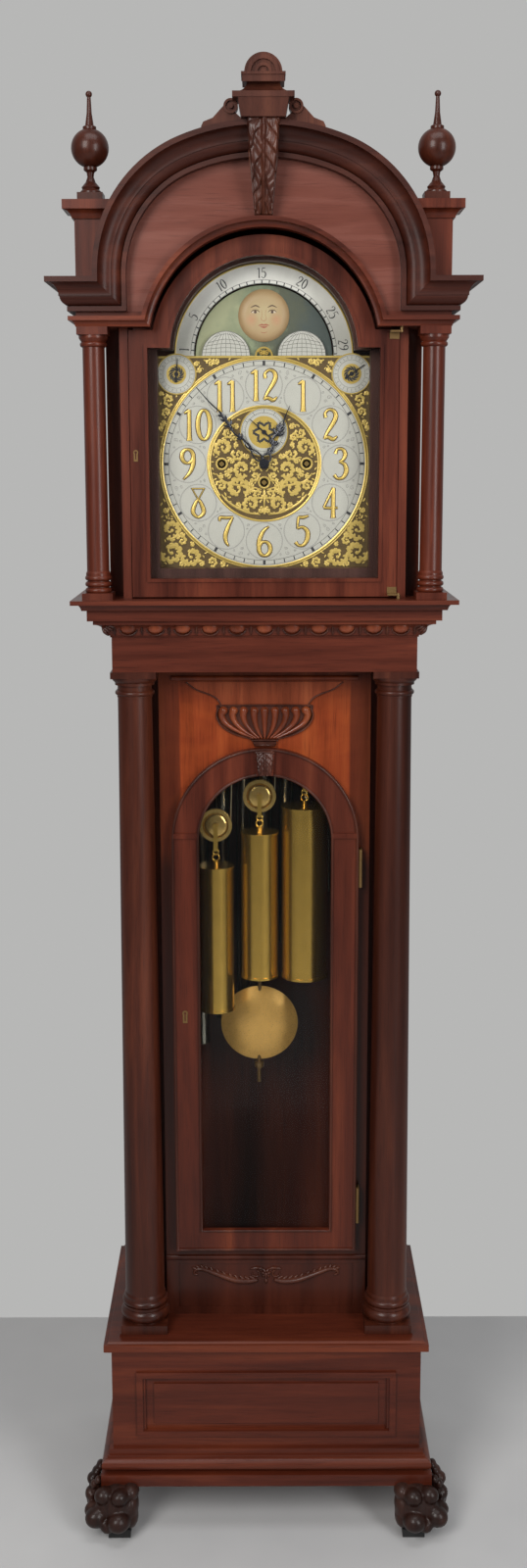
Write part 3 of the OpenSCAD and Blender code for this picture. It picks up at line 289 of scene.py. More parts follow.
# Nodes that look different from the rest of their slot
LOOKS = (
    (wood_x, "base_moulding plinth_front plinth_top frieze hood_base architrave"),
    (wood_y, "hood_roof plinth_sides"),
    (wood_arch, "arch_cornice"),
    (wood_crown, "tympanum"),
    (wood_trunk, "trunk_front"),
    # Columns and finials: the darker mahogany with painted shade
    (wood_turned_shaded, "columns finials"),
    (wood_carved, "trunk_carvings keystone crest"),
    (plate_brown, "dial_plate"),
    (gilt_flat, "dial_frets"),
    (brass_weight, "going_weight strike_weight chime_weight"),
    (brass_soft, "movement_plates"),
    (brass_dark, "hood_door_fittings trunk_door_fittings case_hinges pendulum_rod"),
)
own_look = {name: look for look, names in LOOKS for name in names.split()}
slot_of = {row["node"]: row["material_slot"] for row in frame["record"]["subparts"]}
for name, obj in frame["nodes"].items():
    obj.data.materials.clear()
    obj.data.materials.append(own_look.get(name) or SLOTS[slot_of[name]])

# ---------------- drawing tools


def spline(points, steps, closed=False):
    """Catmull-Rom curve through tuples of any length."""
    n = len(points)
    out = []
    spans = n if closed else n - 1
    for i in range(spans):
        p = [points[(i + k) % n] if closed else points[min(max(i + k, 0), n - 1)] for k in (-1, 0, 1, 2)]
        for s in range(steps):
            t = s / steps
            out.append(tuple(0.5 * ((2 * b) + (c - a) * t + (2 * a - 5 * b + 4 * c - d) * t * t
                       + (3 * b - a - 3 * c + d) * t ** 3) for a, b, c, d in zip(*p)))
    if not closed:
        out.append(tuple(points[-1]))
    return out


def directions(pts, closed):
    """Each point of a path, with the unit direction of the path there."""
    n = len(pts)
    for i, p in enumerate(pts):
        a, b = (pts[i - 1], pts[(i + 1) % n]) if closed else (pts[max(i - 1, 0)], pts[min(i + 1, n - 1)])
        dx, dz = b[0] - a[0], b[1] - a[1]
        d = hypot(dx, dz) or 1.0
        yield p, dx / d, dz / d


class Relief:
    """Flat work on the front plane: strips, discs and polygons, given in X and Z millimetres."""

    def __init__(self):
        self.verts, self.faces = [], []

    def add(self, rows, closed=False, caps=True):
        """Join rows of equal length into a skin."""
        k = len(rows[0])
        base = len(self.verts)
        for row in rows:
            self.verts.extend((x * MM, at(p) * MM, z * MM) for x, z, p in row)
        n = len(rows)
        for i in range(n if closed else n - 1):
            a, b = base + i * k, base + ((i + 1) % n) * k
            for j in range(k - 1):
                self.faces.append((a + j, a + j + 1, b + j + 1, b + j))
        if not closed and caps:
            self.faces.append(tuple(range(base, base + k)))
            self.faces.append(tuple(range(base + (n - 1) * k, base + n * k))[::-1])

    def ribbon(self, points, p0, p1, closed=False, steps=6, ridge=0.55, smooth=True):
        """A stroke of (x, z, half width), with a ridge along its middle."""
        pts = spline(points, steps, closed) if smooth else points
        side = p0 + (p1 - p0) * ridge
        rows = []
        for (x, z, w), ux, uz in directions(pts, closed):
            nx, nz = -uz * w, ux * w
            rows.append([(x + nx, z + nz, p0), (x + nx, z + nz, side), (x, z, p1),
                         (x - nx, z - nz, side), (x - nx, z - nz, p0)])
        self.add(rows, closed)

    def arc(self, cx, cz, r, w, p0, p1, a0=0.0, a1=360.0, n=None, ridge=1.0):
        """A band round (cx, cz), whole or from one angle to another."""
        full = abs(a1 - a0) >= 360
        n = n or max(6, int(abs(a1 - a0) / 5))
        turns = [radians(a0 + (a1 - a0) * i / n) for i in range(n if full else n + 1)]
        pts = [(cx + r * cos(a), cz + r * sin(a), w) for a in turns]
        self.ribbon(pts, p0, p1, full, smooth=False, ridge=ridge)

    def line(self, x0, z0, x1, z1, w, p0, p1, ridge=1.0):
        self.ribbon([(x0, z0, w), (x1, z1, w)], p0, p1, smooth=False, ridge=ridge)

    def disc(self, cx, cz, r, p0, p1, dome=0.0, n=24):
        base = len(self.verts)
        rings = 3 if dome else 1
        steps = [1 - i / rings for i in range(rings)]
        for p, q in [(p0, r)] + [(p1 + dome * (1 - f * f), r * f) for f in steps]:
            for i in range(n):
                a = 2 * pi * i / n
                self.verts.append(((cx + q * cos(a)) * MM, at(p) * MM, (cz + q * sin(a)) * MM))
        for k in range(rings):
            low, high = base + k * n, base + (k + 1) * n
            for i in range(n):
                j = (i + 1) % n
                self.faces.append((low + i, low + j, high + j, high + i))
        self.faces.append(tuple(base + rings * n + i for i in range(n)))

    def leaf(self, x, z, angle, length, width, p0, p1, curl):
        """A pointed leaf that starts at (x, z) and bends by its curl."""
        pts = []
        for t, w in ((0, 0.35), (0.25, 0.95), (0.5, 1.0), (0.75, 0.6), (1.0, 0.06)):
            a = angle + curl * t
            pts.append((x + length * t * cos(a), z + length * t * sin(a), width * w))
        self.ribbon(pts, p0, p1, steps=3)

    def frond(self, x, z, angle, length, width, p0, p1, curl):
        """A broad leaf with scalloped edges, bent by its curl."""
        pts = []
        for k in range(13):
            t = k / 12
            a = angle + curl * t
            bulge = sin(pi * min(1, 0.14 + 0.88 * t)) ** 0.8 * (0.62 + 0.38 * abs(sin(3.3 * pi * t)))
            pts.append((x + length * t * cos(a), z + length * t * sin(a), width * bulge + 0.1))
        self.ribbon(pts, p0, p1, smooth=False, ridge=0.85)

    def scroll(self, cx, cz, r, start, way, p0, p1, w, leaves, turns=1.35, mirror=True, broad=False):
        """A leafy spiral that runs in from radius r, with its mirror image at -X."""
        draw, fat, ridge = (self.frond, 1.3, 0.85) if broad else (self.leaf, 0.95, 0.55)

        def spiral(t):
            a = start + way * turns * 2 * pi * t
            q = r * (1 - 0.82 * t ** 0.9)
            return a, cx + q * cos(a), cz + q * sin(a)
        for side in ((1, -1) if mirror else (1,)):
            pts = []
            for k in range(17):
                t = k / 16
                _, x, z = spiral(t)
                pts.append((side * x, z, w * (0.7 + 0.5 * sin(pi * t)) * (1 - 0.35 * t)))
            self.ribbon(pts, p0, p1, steps=3, ridge=ridge)
            self.disc(*pts[-1][:2], w * 1.25, p0, p1, 0.3, 10)
            for k in range(leaves):
                t = 0.05 + 0.62 * k / max(leaves - 1, 1)
                a, x, z = spiral(t)
                for bend, reach, curl in ((0.75, 0.55, 0.9), (-2.3, 0.36, -0.9)):
                    out = a + way * bend
                    draw(side * x, z, out if side > 0 else pi - out, r * reach * (1 - 0.5 * t), w * fat,
                         p0, p1 - 0.05, curl * way * side)

    def build(self, name, material, body="case", smooth=False, slot=None):
        mesh = bpy.data.meshes.new(name)
        mesh.from_pydata(self.verts, [], self.faces)
        bm = bmesh.new()
        bm.from_mesh(mesh)
        bmesh.ops.recalc_face_normals(bm, faces=bm.faces)
        bm.to_mesh(mesh)
        bm.free()
        o = placed(name, mesh, material, smooth)
        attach(o, body)
        return o


def placed(name, mesh, material, smooth=True):
    """A mesh put into the scene in one material."""
    mesh.materials.append(material)
    for f in mesh.polygons:
        f.use_smooth = smooth
    o = bpy.data.objects.new(name, mesh)
    bpy.context.scene.collection.objects.link(o)
    return o


def oval(cx, cz, rx, rz, thick, thin):
    """A closed stroke that is thick at its sides and thin above and below."""
    return [(cx + rx * cos(a), cz + rz * sin(a), thin + (thick - thin) * abs(cos(a)))
            for a in [2 * pi * i / 16 for i in range(16)]]


# Each numeral is drawn in strokes of (x, z, half width), open or closed, in a cell 100 units high
DIGITS = {
    "0": ([(oval(26, 50, 20, 47, 6.2, 3), True)], 52),
    "1": ([([(20, 0, 11), (20, 5, 6.5), (20, 50, 5), (20, 98, 5)], False),
           ([(20, 98, 3), (10, 90, 3), (3, 88, 1.2)], False)], 36),
    "2": ([([(9, 72, 4.5), (7, 86, 3), (20, 98, 2.8), (36, 93, 4.5),
             (42, 76, 6), (33, 54, 5.5), (14, 24, 3.5), (4, 4, 2)], False),
           ([(4, 5, 2), (17, 10, 4), (34, 3, 4.5), (47, 13, 1.2)], False)], 50),
    "3": ([([(8, 82, 4), (14, 96, 3), (30, 97, 3.5), (40, 82, 5.5), (34, 64, 4), (20, 56, 2)], False),
           ([(20, 56, 2), (38, 48, 4.5), (44, 27, 6.2), (34, 6, 4.5), (16, 2, 3), (4, 14, 4.5)], False)], 50),
    "4": ([([(36, 98, 3), (20, 66, 2.8), (4, 34, 2.2)], False),
           ([(4, 33, 2.8), (28, 32, 3), (50, 33, 2)], False),
           ([(35, 98, 5), (35, 50, 5.2), (35, 5, 6), (35, 0, 11)], False)], 50),
    "5": ([([(12, 95, 3), (28, 94, 4), (46, 99, 1.5)], False),
           ([(13, 95, 3), (10, 75, 2.8), (9, 56, 2)], False),
           ([(9, 57, 1.8), (26, 62, 3.5), (42, 48, 5.8), (42, 24, 6), (30, 4, 4), (13, 2, 3), (3, 13, 4.5)],
            False)], 50),
    "6": ([([(42, 98, 1.2), (24, 84, 4), (11, 58, 5.8), (7, 32, 5.5)], False),
           (oval(27, 25, 19, 23, 5.5, 3), True)], 52),
    "7": ([([(3, 82, 2), (5, 94, 3.5), (26, 93, 3.5), (48, 96, 2)], False),
           ([(47, 95, 2), (32, 66, 4.5), (22, 36, 5.8), (24, 14, 4), (33, 0, 1)], False)], 50),
    "8": ([([(6, 96, 3), (46, 96, 3), (26, 60, 3.5)], True),
           ([(26, 60, 3), (40, 38, 5), (43, 17, 5), (26, 3, 3), (9, 17, 5), (12, 38, 5)], True)], 52),
    "9": ([(oval(25, 75, 19, 22, 5.5, 3), True),
           ([(45, 70, 5), (42, 46, 5.8), (30, 20, 4.2), (10, 0, 1.2)], False)], 50),
}


def numeral(reliefs, text, cx, cz, height, turn=0.0):
    """Write a number round (cx, cz). Each relief is given as (Relief, p0, p1, extra half width)."""
    gap, unit = 6, height / 100
    pen = -(sum(DIGITS[c][1] for c in text) + gap * (len(text) - 1)) / 2
    ca, sa = unit * cos(turn), unit * sin(turn)
    for c in text:
        strokes, advance = DIGITS[c]
        for pts, closed in strokes:
            straight = closed and len(pts) == 3
            for art, p0, p1, extra in reliefs:
                moved = [(cx + (x + pen) * ca - (z - 50) * sa, cz + (x + pen) * sa + (z - 50) * ca,
                          w * unit + extra) for x, z, w in pts]
                art.ribbon(moved, p0, p1, closed, 4, 0.6, smooth=not straight)
        pen += advance + gap


def clock_point(r, degrees, cx=0.0, cz=DIAL_Z):
    """A point at a radius, in degrees clockwise from twelve."""
    return cx + r * sin(radians(degrees)), cz + r * cos(radians(degrees))


# ---------------- dial

CHAPTER_OUT, CHAPTER_IN, NUMERAL_R, NUMERAL_HIGH = 152.6, 84.2, 114.3, 45.5
MINUTE_OUT, MINUTE_IN = 149.4, 143.0  # the track of the minutes
MOON_EDGE, AGE_OUT, AGE_IN, AGE_R = 131.0, 108.0, 103.4, 118.0
SUB_X, SUB_Z = 129.6, 130.5  # the small dials, from the middle
WINDING = ((-63.5, 0), (63.5, 0), (0, -27.5))  # the three squares, from the middle
EDGE_X, EDGE_LOW = 157.6, -154.7  # the gilt border of the plate
TOP = DIAL_P + 2.0  # face of the rings
MOON_TOP = DIAL_P + 1.5  # face of the moon's arc
CUT = 0.06  # height of an engraved line

ink = paint("engraving_ink", (0.02, 0.02, 0.022), 0.5, 0.3)
ink_brown = paint("numeral_edge", (0.06, 0.03, 0.012), 0.45, 0.3)
rim, marks, fine, numbers, edges = Relief(), Relief(), Relief(), Relief(), Relief()


def tick(r0, r1, degrees, w, cx=0.0, cz=DIAL_Z, p=TOP, height=CUT):
    """A short engraved line that points at (cx, cz)."""
    marks.line(*clock_point(r0, degrees, cx, cz), *clock_point(r1, degrees, cx, cz), w, p, p + height)


rim.arc(0, DIAL_Z, CHAPTER_OUT, 1.5, TOP - 0.2, TOP + 0.9, n=120, ridge=0.5)
rim.arc(0, DIAL_Z, CHAPTER_IN, 1.5, TOP - 0.2, TOP + 0.9, n=96, ridge=0.5)
for r in (MINUTE_OUT, MINUTE_IN):
    marks.arc(0, DIAL_Z, r, 0.28, TOP, TOP + 0.08, n=120)
for i in range(60):
    if i % 5:
        tick(MINUTE_IN + 0.6, MINUTE_OUT - 0.2, 6 * i, 0.75, height=0.1)
    else:
        tick(MINUTE_IN + 0.2, MINUTE_OUT + 0.4, 6 * i, 2.0, height=0.12)
for h in range(1, 13):
    x, z = clock_point(NUMERAL_R, 30 * h)
    fine.arc(x, z, 27.6, 0.22, TOP, TOP + CUT, n=48)
    fine.arc(x, z, 26.6, 0.12, TOP, TOP + CUT, n=48)
    looks = [(edges, TOP, TOP + 0.5, 1.2), (numbers, TOP + 0.3, TOP + 1.5, 0.0)]
    numeral(looks, str(h), x, z, NUMERAL_HIGH)
    for r, d, size in ((136.5, 15, 3.4), (129.0, 15, 2.6), (136.0, 10.3, 2.0), (136.0, 19.7, 2.0),
                       (93.0, 15, 2.4), (99.0, 15, 1.6)):
        x, z = clock_point(r, 30 * h + d)
        fine.scroll(x, z, size, radians(40 * h + 20 * d), 1 if d > 12 else -1, TOP, TOP + 0.05,
                    leaves=3, w=0.22, mirror=False)

frets = Relief()
F0, F1 = DIAL_P, DIAL_P + 1.25  # back and front of the gilt work
for side in (-1, 1):
    frets.line(side * EDGE_X, DIAL_Z - 156, side * EDGE_X, DIAL_TOP, 1.3, F0, F1, 0.7)
frets.line(-159, DIAL_Z + EDGE_LOW, 159, DIAL_Z + EDGE_LOW, 1.3, F0, F1, 0.7)
frets.line(-159, DIAL_TOP - 1.4, 159, DIAL_TOP - 1.4, 1.4, F0, F1 + 0.6, 0.7)
frets.arc(0, DIAL_Z, 81.2, 1.3, F0, F1, 215, -35, n=80, ridge=0.7)
frets.arc(0, DIAL_Z, 155.6, 1.1, F0, F1, n=120, ridge=0.7)
for side in (-1, 1):
    frets.arc(side * SUB_X, DIAL_Z + SUB_Z, 28.6, 1.3, F0, F1 + 1.2, n=48, ridge=0.6)
frets.arc(0, SECONDS_Z, 35.2, 1.1, F0, F1 + 1.0, n=48, ridge=0.6)
for x, z in WINDING:
    frets.arc(x, DIAL_Z + z, 8.0, 1.4, F0, F1 + 0.6, n=24, ridge=0.6)


def packed(inside, big, small, seed, keep=()):
    """Circles that fill a region right of the middle, largest first."""
    draw = random.Random(seed)
    found = list(keep)
    r = big
    while r > small:
        for _ in range(260):
            x, z = draw.uniform(1, 158), draw.uniform(-156, 156)
            if (inside(x, z, r * 0.94) and x > r * 0.9
                    and all(hypot(x - a, z - b) > 0.88 * (r + c) for a, b, c in found)):
                found.append((x, z, r))
        r *= 0.87
    return found[len(keep):]


def in_centre(x, z, r):
    """True where a scroll of radius r is clear of the rings and squares of the dial's centre."""
    (wx, _), (_, low) = WINDING[1:]
    foot = z < -52 - 0.1 * abs(x) + r and hypot(x, z + 4) > 74 - r
    return (hypot(x, z) < 79.5 - r and hypot(x, z - 46.4) > 36.5 + r and hypot(x, z) > 5 + r and not foot
            and hypot(x - wx, z) > 9.5 + 1.1 * r and hypot(x, z - low) > 9.5 + 1.1 * r)


def in_corner(x, z, r):
    """True where a scroll of radius r is inside a corner spandrel."""
    top = 154.5 if z > 0 else 1e3
    return (hypot(x, z) > 156.6 + r and abs(x) < 156.4 - r and z > -153.6 + r and z < top - r
            and hypot(x - SUB_X, z - SUB_Z) > 29.5 + r)


# Four scrolls are placed as in the photograph, and smaller ones fill the rest
pick = random.Random(5)
MAIN = [(41, -36, 17), (19, -59, 12), (60, 24, 13), (33, -7, 12.5)]
for x, z, r in MAIN + packed(in_centre, 9, 1.8, 3, MAIN) + packed(in_corner, 17, 1.6, 4):
    start, way = pick.uniform(0, 2 * pi), pick.choice((1, -1))
    if r > 3:
        frets.scroll(x, DIAL_Z + z, r * 1.04, start, way, F0, F1 + 0.25, turns=1.2,
                     leaves=8 if r > 9 else 6, w=0.08 * r + 0.8, broad=True)
    else:
        for side in (-1, 1):
            frets.frond(side * (x - r * cos(start)), DIAL_Z + z - r * sin(start),
                        start if side > 0 else pi - start, 2.2 * r, 0.45 * r, F0, F1 + 0.1, 0.6 * side)
STEMS = (((6, -75, 0.6), (24, -72, 1.5), (40, -65, 1.7), (54, -56, 1.4), (64, -45, 1.0)),
         ((4, -38, 0.7), (24, -33, 1.3), (40, -31, 1.6), (60, -26, 1.5), (72, -14, 0.9)))
for side in (-1, 1):
    for stem in STEMS:
        frets.ribbon([(side * x, DIAL_Z + z, w) for x, z, w in stem], F0, F1)
frets.ribbon([(0, DIAL_Z + z, w) for z, w in ((-74, 1.4), (-60, 1.0), (-44, 1.8), (-37, 0.8))], F0, F1)
frets.arc(0, DIAL_TOP, 12.0, 1.3, F0, F1 + 1.2, 0, 180, n=24, ridge=0.6)
frets.scroll(4.5, DIAL_TOP + 4.5, 4.0, 0.3, 1, F0, F1 + 0.8, leaves=4, w=0.8)
frets.leaf(0, DIAL_TOP + 1, pi / 2, 9, 1.6, F0, F1 + 0.8, 0.0)
fret_obj = frets.build("gilt_frets", gilt_flat)
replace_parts(fret_obj, "dial_frets")

for side in (-1, 1):
    x, z = side * SUB_X, DIAL_Z + SUB_Z
    for r in (26.6, 20.2):
        marks.arc(x, z, r, 0.18, TOP, TOP + CUT, n=36)
    for i in range(24):
        tick(21.5, 25.4, 15 * i, 0.25, x, z)
    numbers.disc(x, z, 14.6, TOP, TOP + 0.3, 0.5)
    for i in range(12):
        a = radians(30 * i)
        marks.leaf(x + 4.6 * cos(a), z + 4.6 * sin(a), a + 0.35, 9.5, 1.5, TOP + 0.7, TOP + 0.95, 0.9)
for r in (33.0, 28.0):
    marks.arc(0, SECONDS_Z, r, 0.2, TOP, TOP + CUT, n=48)
for i in range(60):
    far, w = (30.2, 0.16) if i % 5 else (32.6, 0.35)
    tick(28.2, far, 6 * i, w, 0, SECONDS_Z)
numbers.arc(0, SECONDS_Z, 12.6, 11.0, TOP, TOP + 0.1, n=40)
for i in range(6):
    a = radians(60 * i + 30)
    for s in (1, -1):
        marks.leaf(8 * cos(a), SECONDS_Z + 8 * sin(a), a + 0.3 * s, 13, 1.8, TOP + 0.1, TOP + 0.25, 0.9 * s)


def age_angle(half_days):
    """Where an age of the moon stands on its arch, counted from the left in half days."""
    return -88.5 + 177 * half_days / 59


for half_days in range(1, 60, 2):
    tick(AGE_IN + 0.1, AGE_OUT - 0.2, age_angle(half_days), 0.75, 0, DIAL_TOP, MOON_TOP)
for r in (AGE_OUT, AGE_IN):
    marks.arc(0, DIAL_TOP, r, 0.28, MOON_TOP, MOON_TOP + CUT, 1.5, 178.5)
for day in (1, 5, 10, 15, 20, 25, 29):
    a = age_angle(day * 2 - 1)
    x, z = clock_point(AGE_R, a, 0, DIAL_TOP)
    numeral([(marks, MOON_TOP, MOON_TOP + 0.08, 0.0)], str(day), x, z, 14.5, -radians(a))
moon_rim = Relief()
moon_rim.arc(0, DIAL_TOP, MOON_EDGE, 1.0, MOON_TOP - 0.5, MOON_TOP + 0.6, 0, 180, n=90, ridge=0.5)
moon_rim.build("moon_rim", gilt)

# The globes on the two humps, with their lines of latitude and longitude
HUMP_X, HUMP_R = 56, 35.5
for side in (-1, 1):
    cx = side * HUMP_X
    marks.arc(cx, DIAL_TOP, 35.3, 0.35, MOON_TOP, MOON_TOP + 0.1, 1, 179)
    for k in range(1, 6):
        lift = HUMP_R * k / 6.2
        half = sqrt(HUMP_R ** 2 - lift ** 2)
        reach, end, middle = (1.0, 0.82, 1.05) if k < 5 else (0.8, 0.95, 1.1)
        marks.ribbon([(cx - half * reach, DIAL_TOP + lift * end, 0.26), (cx, DIAL_TOP + lift * middle, 0.26),
                      (cx + half * reach, DIAL_TOP + lift * end, 0.26)], MOON_TOP, MOON_TOP + CUT)
    for k in range(-4, 5):
        bow = 35.0 * k / 4.6
        marks.ribbon([(cx + bow * f, DIAL_TOP + z, 0.24) for f, z in ((1, 0.6), (0.86, 18), (0.3, 33.5))],
                     MOON_TOP, MOON_TOP + CUT)
rim.build("ring_rims", gilt)
marks.build("dial_marks", ink)
fine.build("dial_engraving", paint("fine_engraving", (0.16, 0.16, 0.16), 0.5, 0.2))
edges.build("numeral_outlines", ink_brown)
numbers.build("gilt_numerals", gilt)

# ---------------- moon face and hands

MOON_ORBIT = 58
MZ, M0 = DIAL_TOP + MOON_ORBIT, 6.6  # the upper face's middle and its front
M1 = M0 + 0.75  # front of what is painted on it


def face_skin():
    """Warm painted moon, paler in the middle, with soft cheeks."""
    s = Shader("moon_skin")

    def away(x, z, near, far):
        flat = s.node("VectorMath", operation="MULTIPLY")
        s.put(flat.inputs[0], s.coord)
        flat.inputs[1].default_value = (1, 0, 1)
        d = s.node("VectorMath", operation="DISTANCE")
        s.put(d.inputs[0], flat.outputs[0])
        d.inputs[1].default_value = (x * MM, 0, (MZ + z) * MM)
        return s.grey(d.outputs["Value"], 0.0, 1.0, near * MM, far * MM)
    col = s.mix(away(0, 2, 6, 38), (0.50, 0.41, 0.22), (0.40, 0.26, 0.125))
    for x in (-18, 18):
        col = s.mix(away(x, -6, 2, 11), (0.50, 0.28, 0.15), col)
    col = s.mix(s.grey(s.noise(s.place(), 60.0, 4.0), 0.0, 0.25), col, (0.36, 0.24, 0.11))
    return s.set(Base_Color=col, Roughness=0.5)


moon = Relief()
for z in (MZ, DIAL_TOP - MOON_ORBIT):
    moon.disc(0, z, 37.6, 6.0, M0, 0.7, 64)
moon.build("moon_discs", face_skin(), "moon", True, "painted_moon")
dark, lips, pale = Relief(), Relief(), Relief()


def feature(art, points, p0=M1 - 0.3, p1=M1 - 0.05):
    """A painted stroke on the upper face, from the face's middle."""
    art.ribbon([(x, MZ + z, w) for x, z, w in points], p0, p1)


for side in (-1, 1):
    ex = side * 12.5
    feature(pale, [(ex - 5.4, 4.6, 0.3), (ex, 4.9, 2.2), (ex + 5.4, 4.6, 0.3)], M1 - 0.4, M1 - 0.1)
    dark.disc(ex, MZ + 5.0, 2.1, M1 - 0.3, M1)
    feature(dark, [(ex - 6.2, 4.4, 0.35), (ex - 3, 7.4, 0.6), (ex + 3, 7.5, 0.6), (ex + 6.2, 4.6, 0.35)],
            p1=M1)
    feature(dark, [(ex - side * 6.5, 11.5, 0.5), (ex, 14.2, 0.95), (ex + side * 7, 11.2, 0.3)])
    feature(lips, [(side * 3.4, 8.0, 0.3), (side * 2.6, 1.0, 0.35), (side * 3.8, -4.6, 0.4),
                   (side * 2.2, -7.0, 0.45), (0, -7.6, 0.45)])
feature(lips, [(-8.5, -14.4, 0.25), (-3, -13.0, 1.1), (0, -13.6, 0.9), (3, -13.0, 1.1), (8.5, -14.4, 0.25)],
        p1=M1)
feature(lips, [(-5.8, -15.2, 0.25), (0, -16.8, 1.3), (5.8, -15.2, 0.25)])
feature(lips, [(-5, -23.5, 0.2), (0, -24.6, 0.45), (5, -23.5, 0.2)])
for art, name, look, colour in ((dark, "moon_eyes", "moon_lines", (0.09, 0.045, 0.03)),
                                (lips, "moon_lips", "moon_red", (0.36, 0.10, 0.06)),
                                (pale, "moon_eye_whites", "moon_pale", (0.70, 0.62, 0.50))):
    art.build(name, paint(look, colour), "moon", slot="painted_moon")


def hand(name, node, body, angle, length, width, p0, p1, arbor, bore=0.0):
    """A serpentine hand with two leafy knots and a long point, on an arbor that may be bored through."""
    art = Relief()
    ca, sa = cos(angle), sin(angle)

    def pointed(pts):
        return [(v * ca + u * sa, DIAL_Z - v * sa + u * ca, w) for u, v, w in pts]
    for r, a, b in ((width * 0.62, p0, p1 + 0.6), *arbor):
        if bore:
            art.arc(0, DIAL_Z, (r + bore) / 2, (r - bore) / 2, a, b, n=36, ridge=0.9 if b > p0 else 1.0)
        else:
            art.disc(0, DIAL_Z, r, a, b)
    for side in (-1, 1):
        art.ribbon(pointed([(length * f, side * width * v, width * w) for f, v, w in (
            (0.045, 0.15, 0.14), (0.08, 0.5, 0.12), (0.14, 0.42, 0.12), (0.19, 0.12, 0.13), (0.24, 0.3, 0.1),
            (0.27, 0.1, 0.06))]), p0, p1)
        for f, reach, lean in ((0.33, 0.8, 0.9), (0.5, 1.0, 1.0), (0.56, 0.85, 0.7), (0.62, 0.6, 0.5),
                               (0.36, 0.6, -0.9)):
            pts = []
            for t, w in ((0, 0.10), (0.35, 0.19), (0.7, 0.15), (1.0, 0.03)):
                a, far = lean * side * (1.25 - 0.5 * t), width * reach * t
                pts.append((length * f + far * cos(a), far * sin(a) + side * 0.05 * width, width * w))
            art.ribbon(pointed(pts), p0, p1 - 0.1, steps=4)
    art.ribbon(pointed([(length * f, width * v, width * w) for f, v, w in (
        (0.2, 0, 0.12), (0.27, 0.14, 0.13), (0.33, 0.05, 0.2), (0.40, -0.3, 0.14), (0.47, -0.2, 0.17),
        (0.53, 0.0, 0.24), (0.60, 0.05, 0.2), (0.67, 0.2, 0.12), (0.74, 0.08, 0.11), (0.82, 0.0, 0.09),
        (1.0, 0, 0.03))]), p0, p1)
    o = art.build(name, blued, body)
    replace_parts(o, node)


# An arbor is given in lengths of (radius, back, front): the pipe itself, its wheel and a collet
hand("hour_hand_cut", "hour_hand", "hour", radians(24.5), 93.0, 12.0, 17.0, 18.4,
     ((4.6, -30, 17), (22.0, -30, -27)), bore=2.9)
hand("minute_hand_cut", "minute_hand", "minute", radians(-42), 151.0, 9.5, 22.0, 23.4,
     ((2.5, -104, 27), (22.0, -40.4, -38.4), (4.2, 23.4, 25.2)))

# ---------------- carving


def tube(art, points, p0, height, closed=False, steps=6, k=7):
    """A carved strand of (x, z, half width): half round in section, height times its width high."""
    rows = []
    turns = [pi * j / (k - 1) for j in range(k)]
    for (x, z, w), ux, uz in directions(spline(points, steps, closed), closed):
        rows.append([(x - uz * w * cos(a), z + ux * w * cos(a), p0 + height * w * sin(a)) for a in turns])
    art.add(rows, closed)


def pair(art, points, p0, height, **how):
    """A carved strand on the right and its mirror image on the left."""
    for side in (-1, 1):
        tube(art, [(side * x, z, w) for x, z, w in points], p0, height, **how)


def acanthus(art, x0, z0, z1, half0, half1, front, back, folds, depth, wild=0.3):
    """A tapering block whose face is one long leaf: a middle rib and ragged folds that sweep down and out."""
    nu, nv = 44, int(folds * 22)
    rows = []
    for j in range(nv + 1):
        v = j / nv
        half = half0 + (half1 - half0) * v
        row = [(x0 - half, z0 + (z1 - z0) * v, back(v))]
        for i in range(nu + 1):
            u = 2 * i / nu - 1
            side = 1 if u > 0 else -1
            drift = wild * (0.30 * sin(7.3 * v + 1.1 * side) + 0.16 * sin(17 * v + 2.0 * side + 3 * u))
            beat = (v * folds + 1.25 * abs(u) ** 0.9 + drift + 0.15 * side * wild) % 1.0
            lobe = (1 - beat) ** 0.55 * min(1, beat * 9)
            vein = 0.5 + 0.5 * sin(2 * pi * (2.2 * abs(u) - 0.8 * v * folds + drift * 2))
            h = depth * (0.62 * lobe * (0.3 + 0.7 * abs(u)) + 0.75 * max(0, 1 - abs(u) / 0.17) ** 0.7
                         + 0.3 * vein * lobe)
            h -= depth * 1.2 * max(0, abs(u) - 0.88) / 0.12
            edge = 1 - 0.05 * (1 - lobe) if abs(u) > 0.9 else 1.0
            row.append((x0 + u * half * edge, z0 + (z1 - z0) * v, front(v) + min(h, depth) - depth))
        row.append((x0 + half, z0 + (z1 - z0) * v, back(v)))
        rows.append(row)
    art.add(rows)


KEY_TOP, KEY_FOOT = 2192.8, 2071
key = Relief()
acanthus(key, 0, KEY_FOOT, KEY_TOP, 13.0, 23.6, lambda v: 108 + 36 * (1 - (1 - v) ** 1.55), lambda v: 88,
         4.6, 7.0, 0.9)
# Each side has a thin outer edge that turns over at the foot
pair(key, [(22.5, 2190, 1.3), (18.5, 2140, 1.5), (14, 2100, 1.4), (11.5, 2076, 2.0)], 106, 1.6)
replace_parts(key.build("keystone_leaf", wood_carved, smooth=True), "keystone")

small = Relief()
acanthus(small, 0, 1253.5, 1293, 11.5, 14.6, lambda v: 27 - 3 * (2 * v - 1) ** 2, lambda v: 13.5, 3.2, 3.4)
tube(small, [(-15.5, 1290, 2.2), (0, 1291.5, 2.6), (15.5, 1290, 2.2)], 19, 2.2)
small.build("door_keystone_leaf", wood_carved, "trunk_door", True, "mahogany")

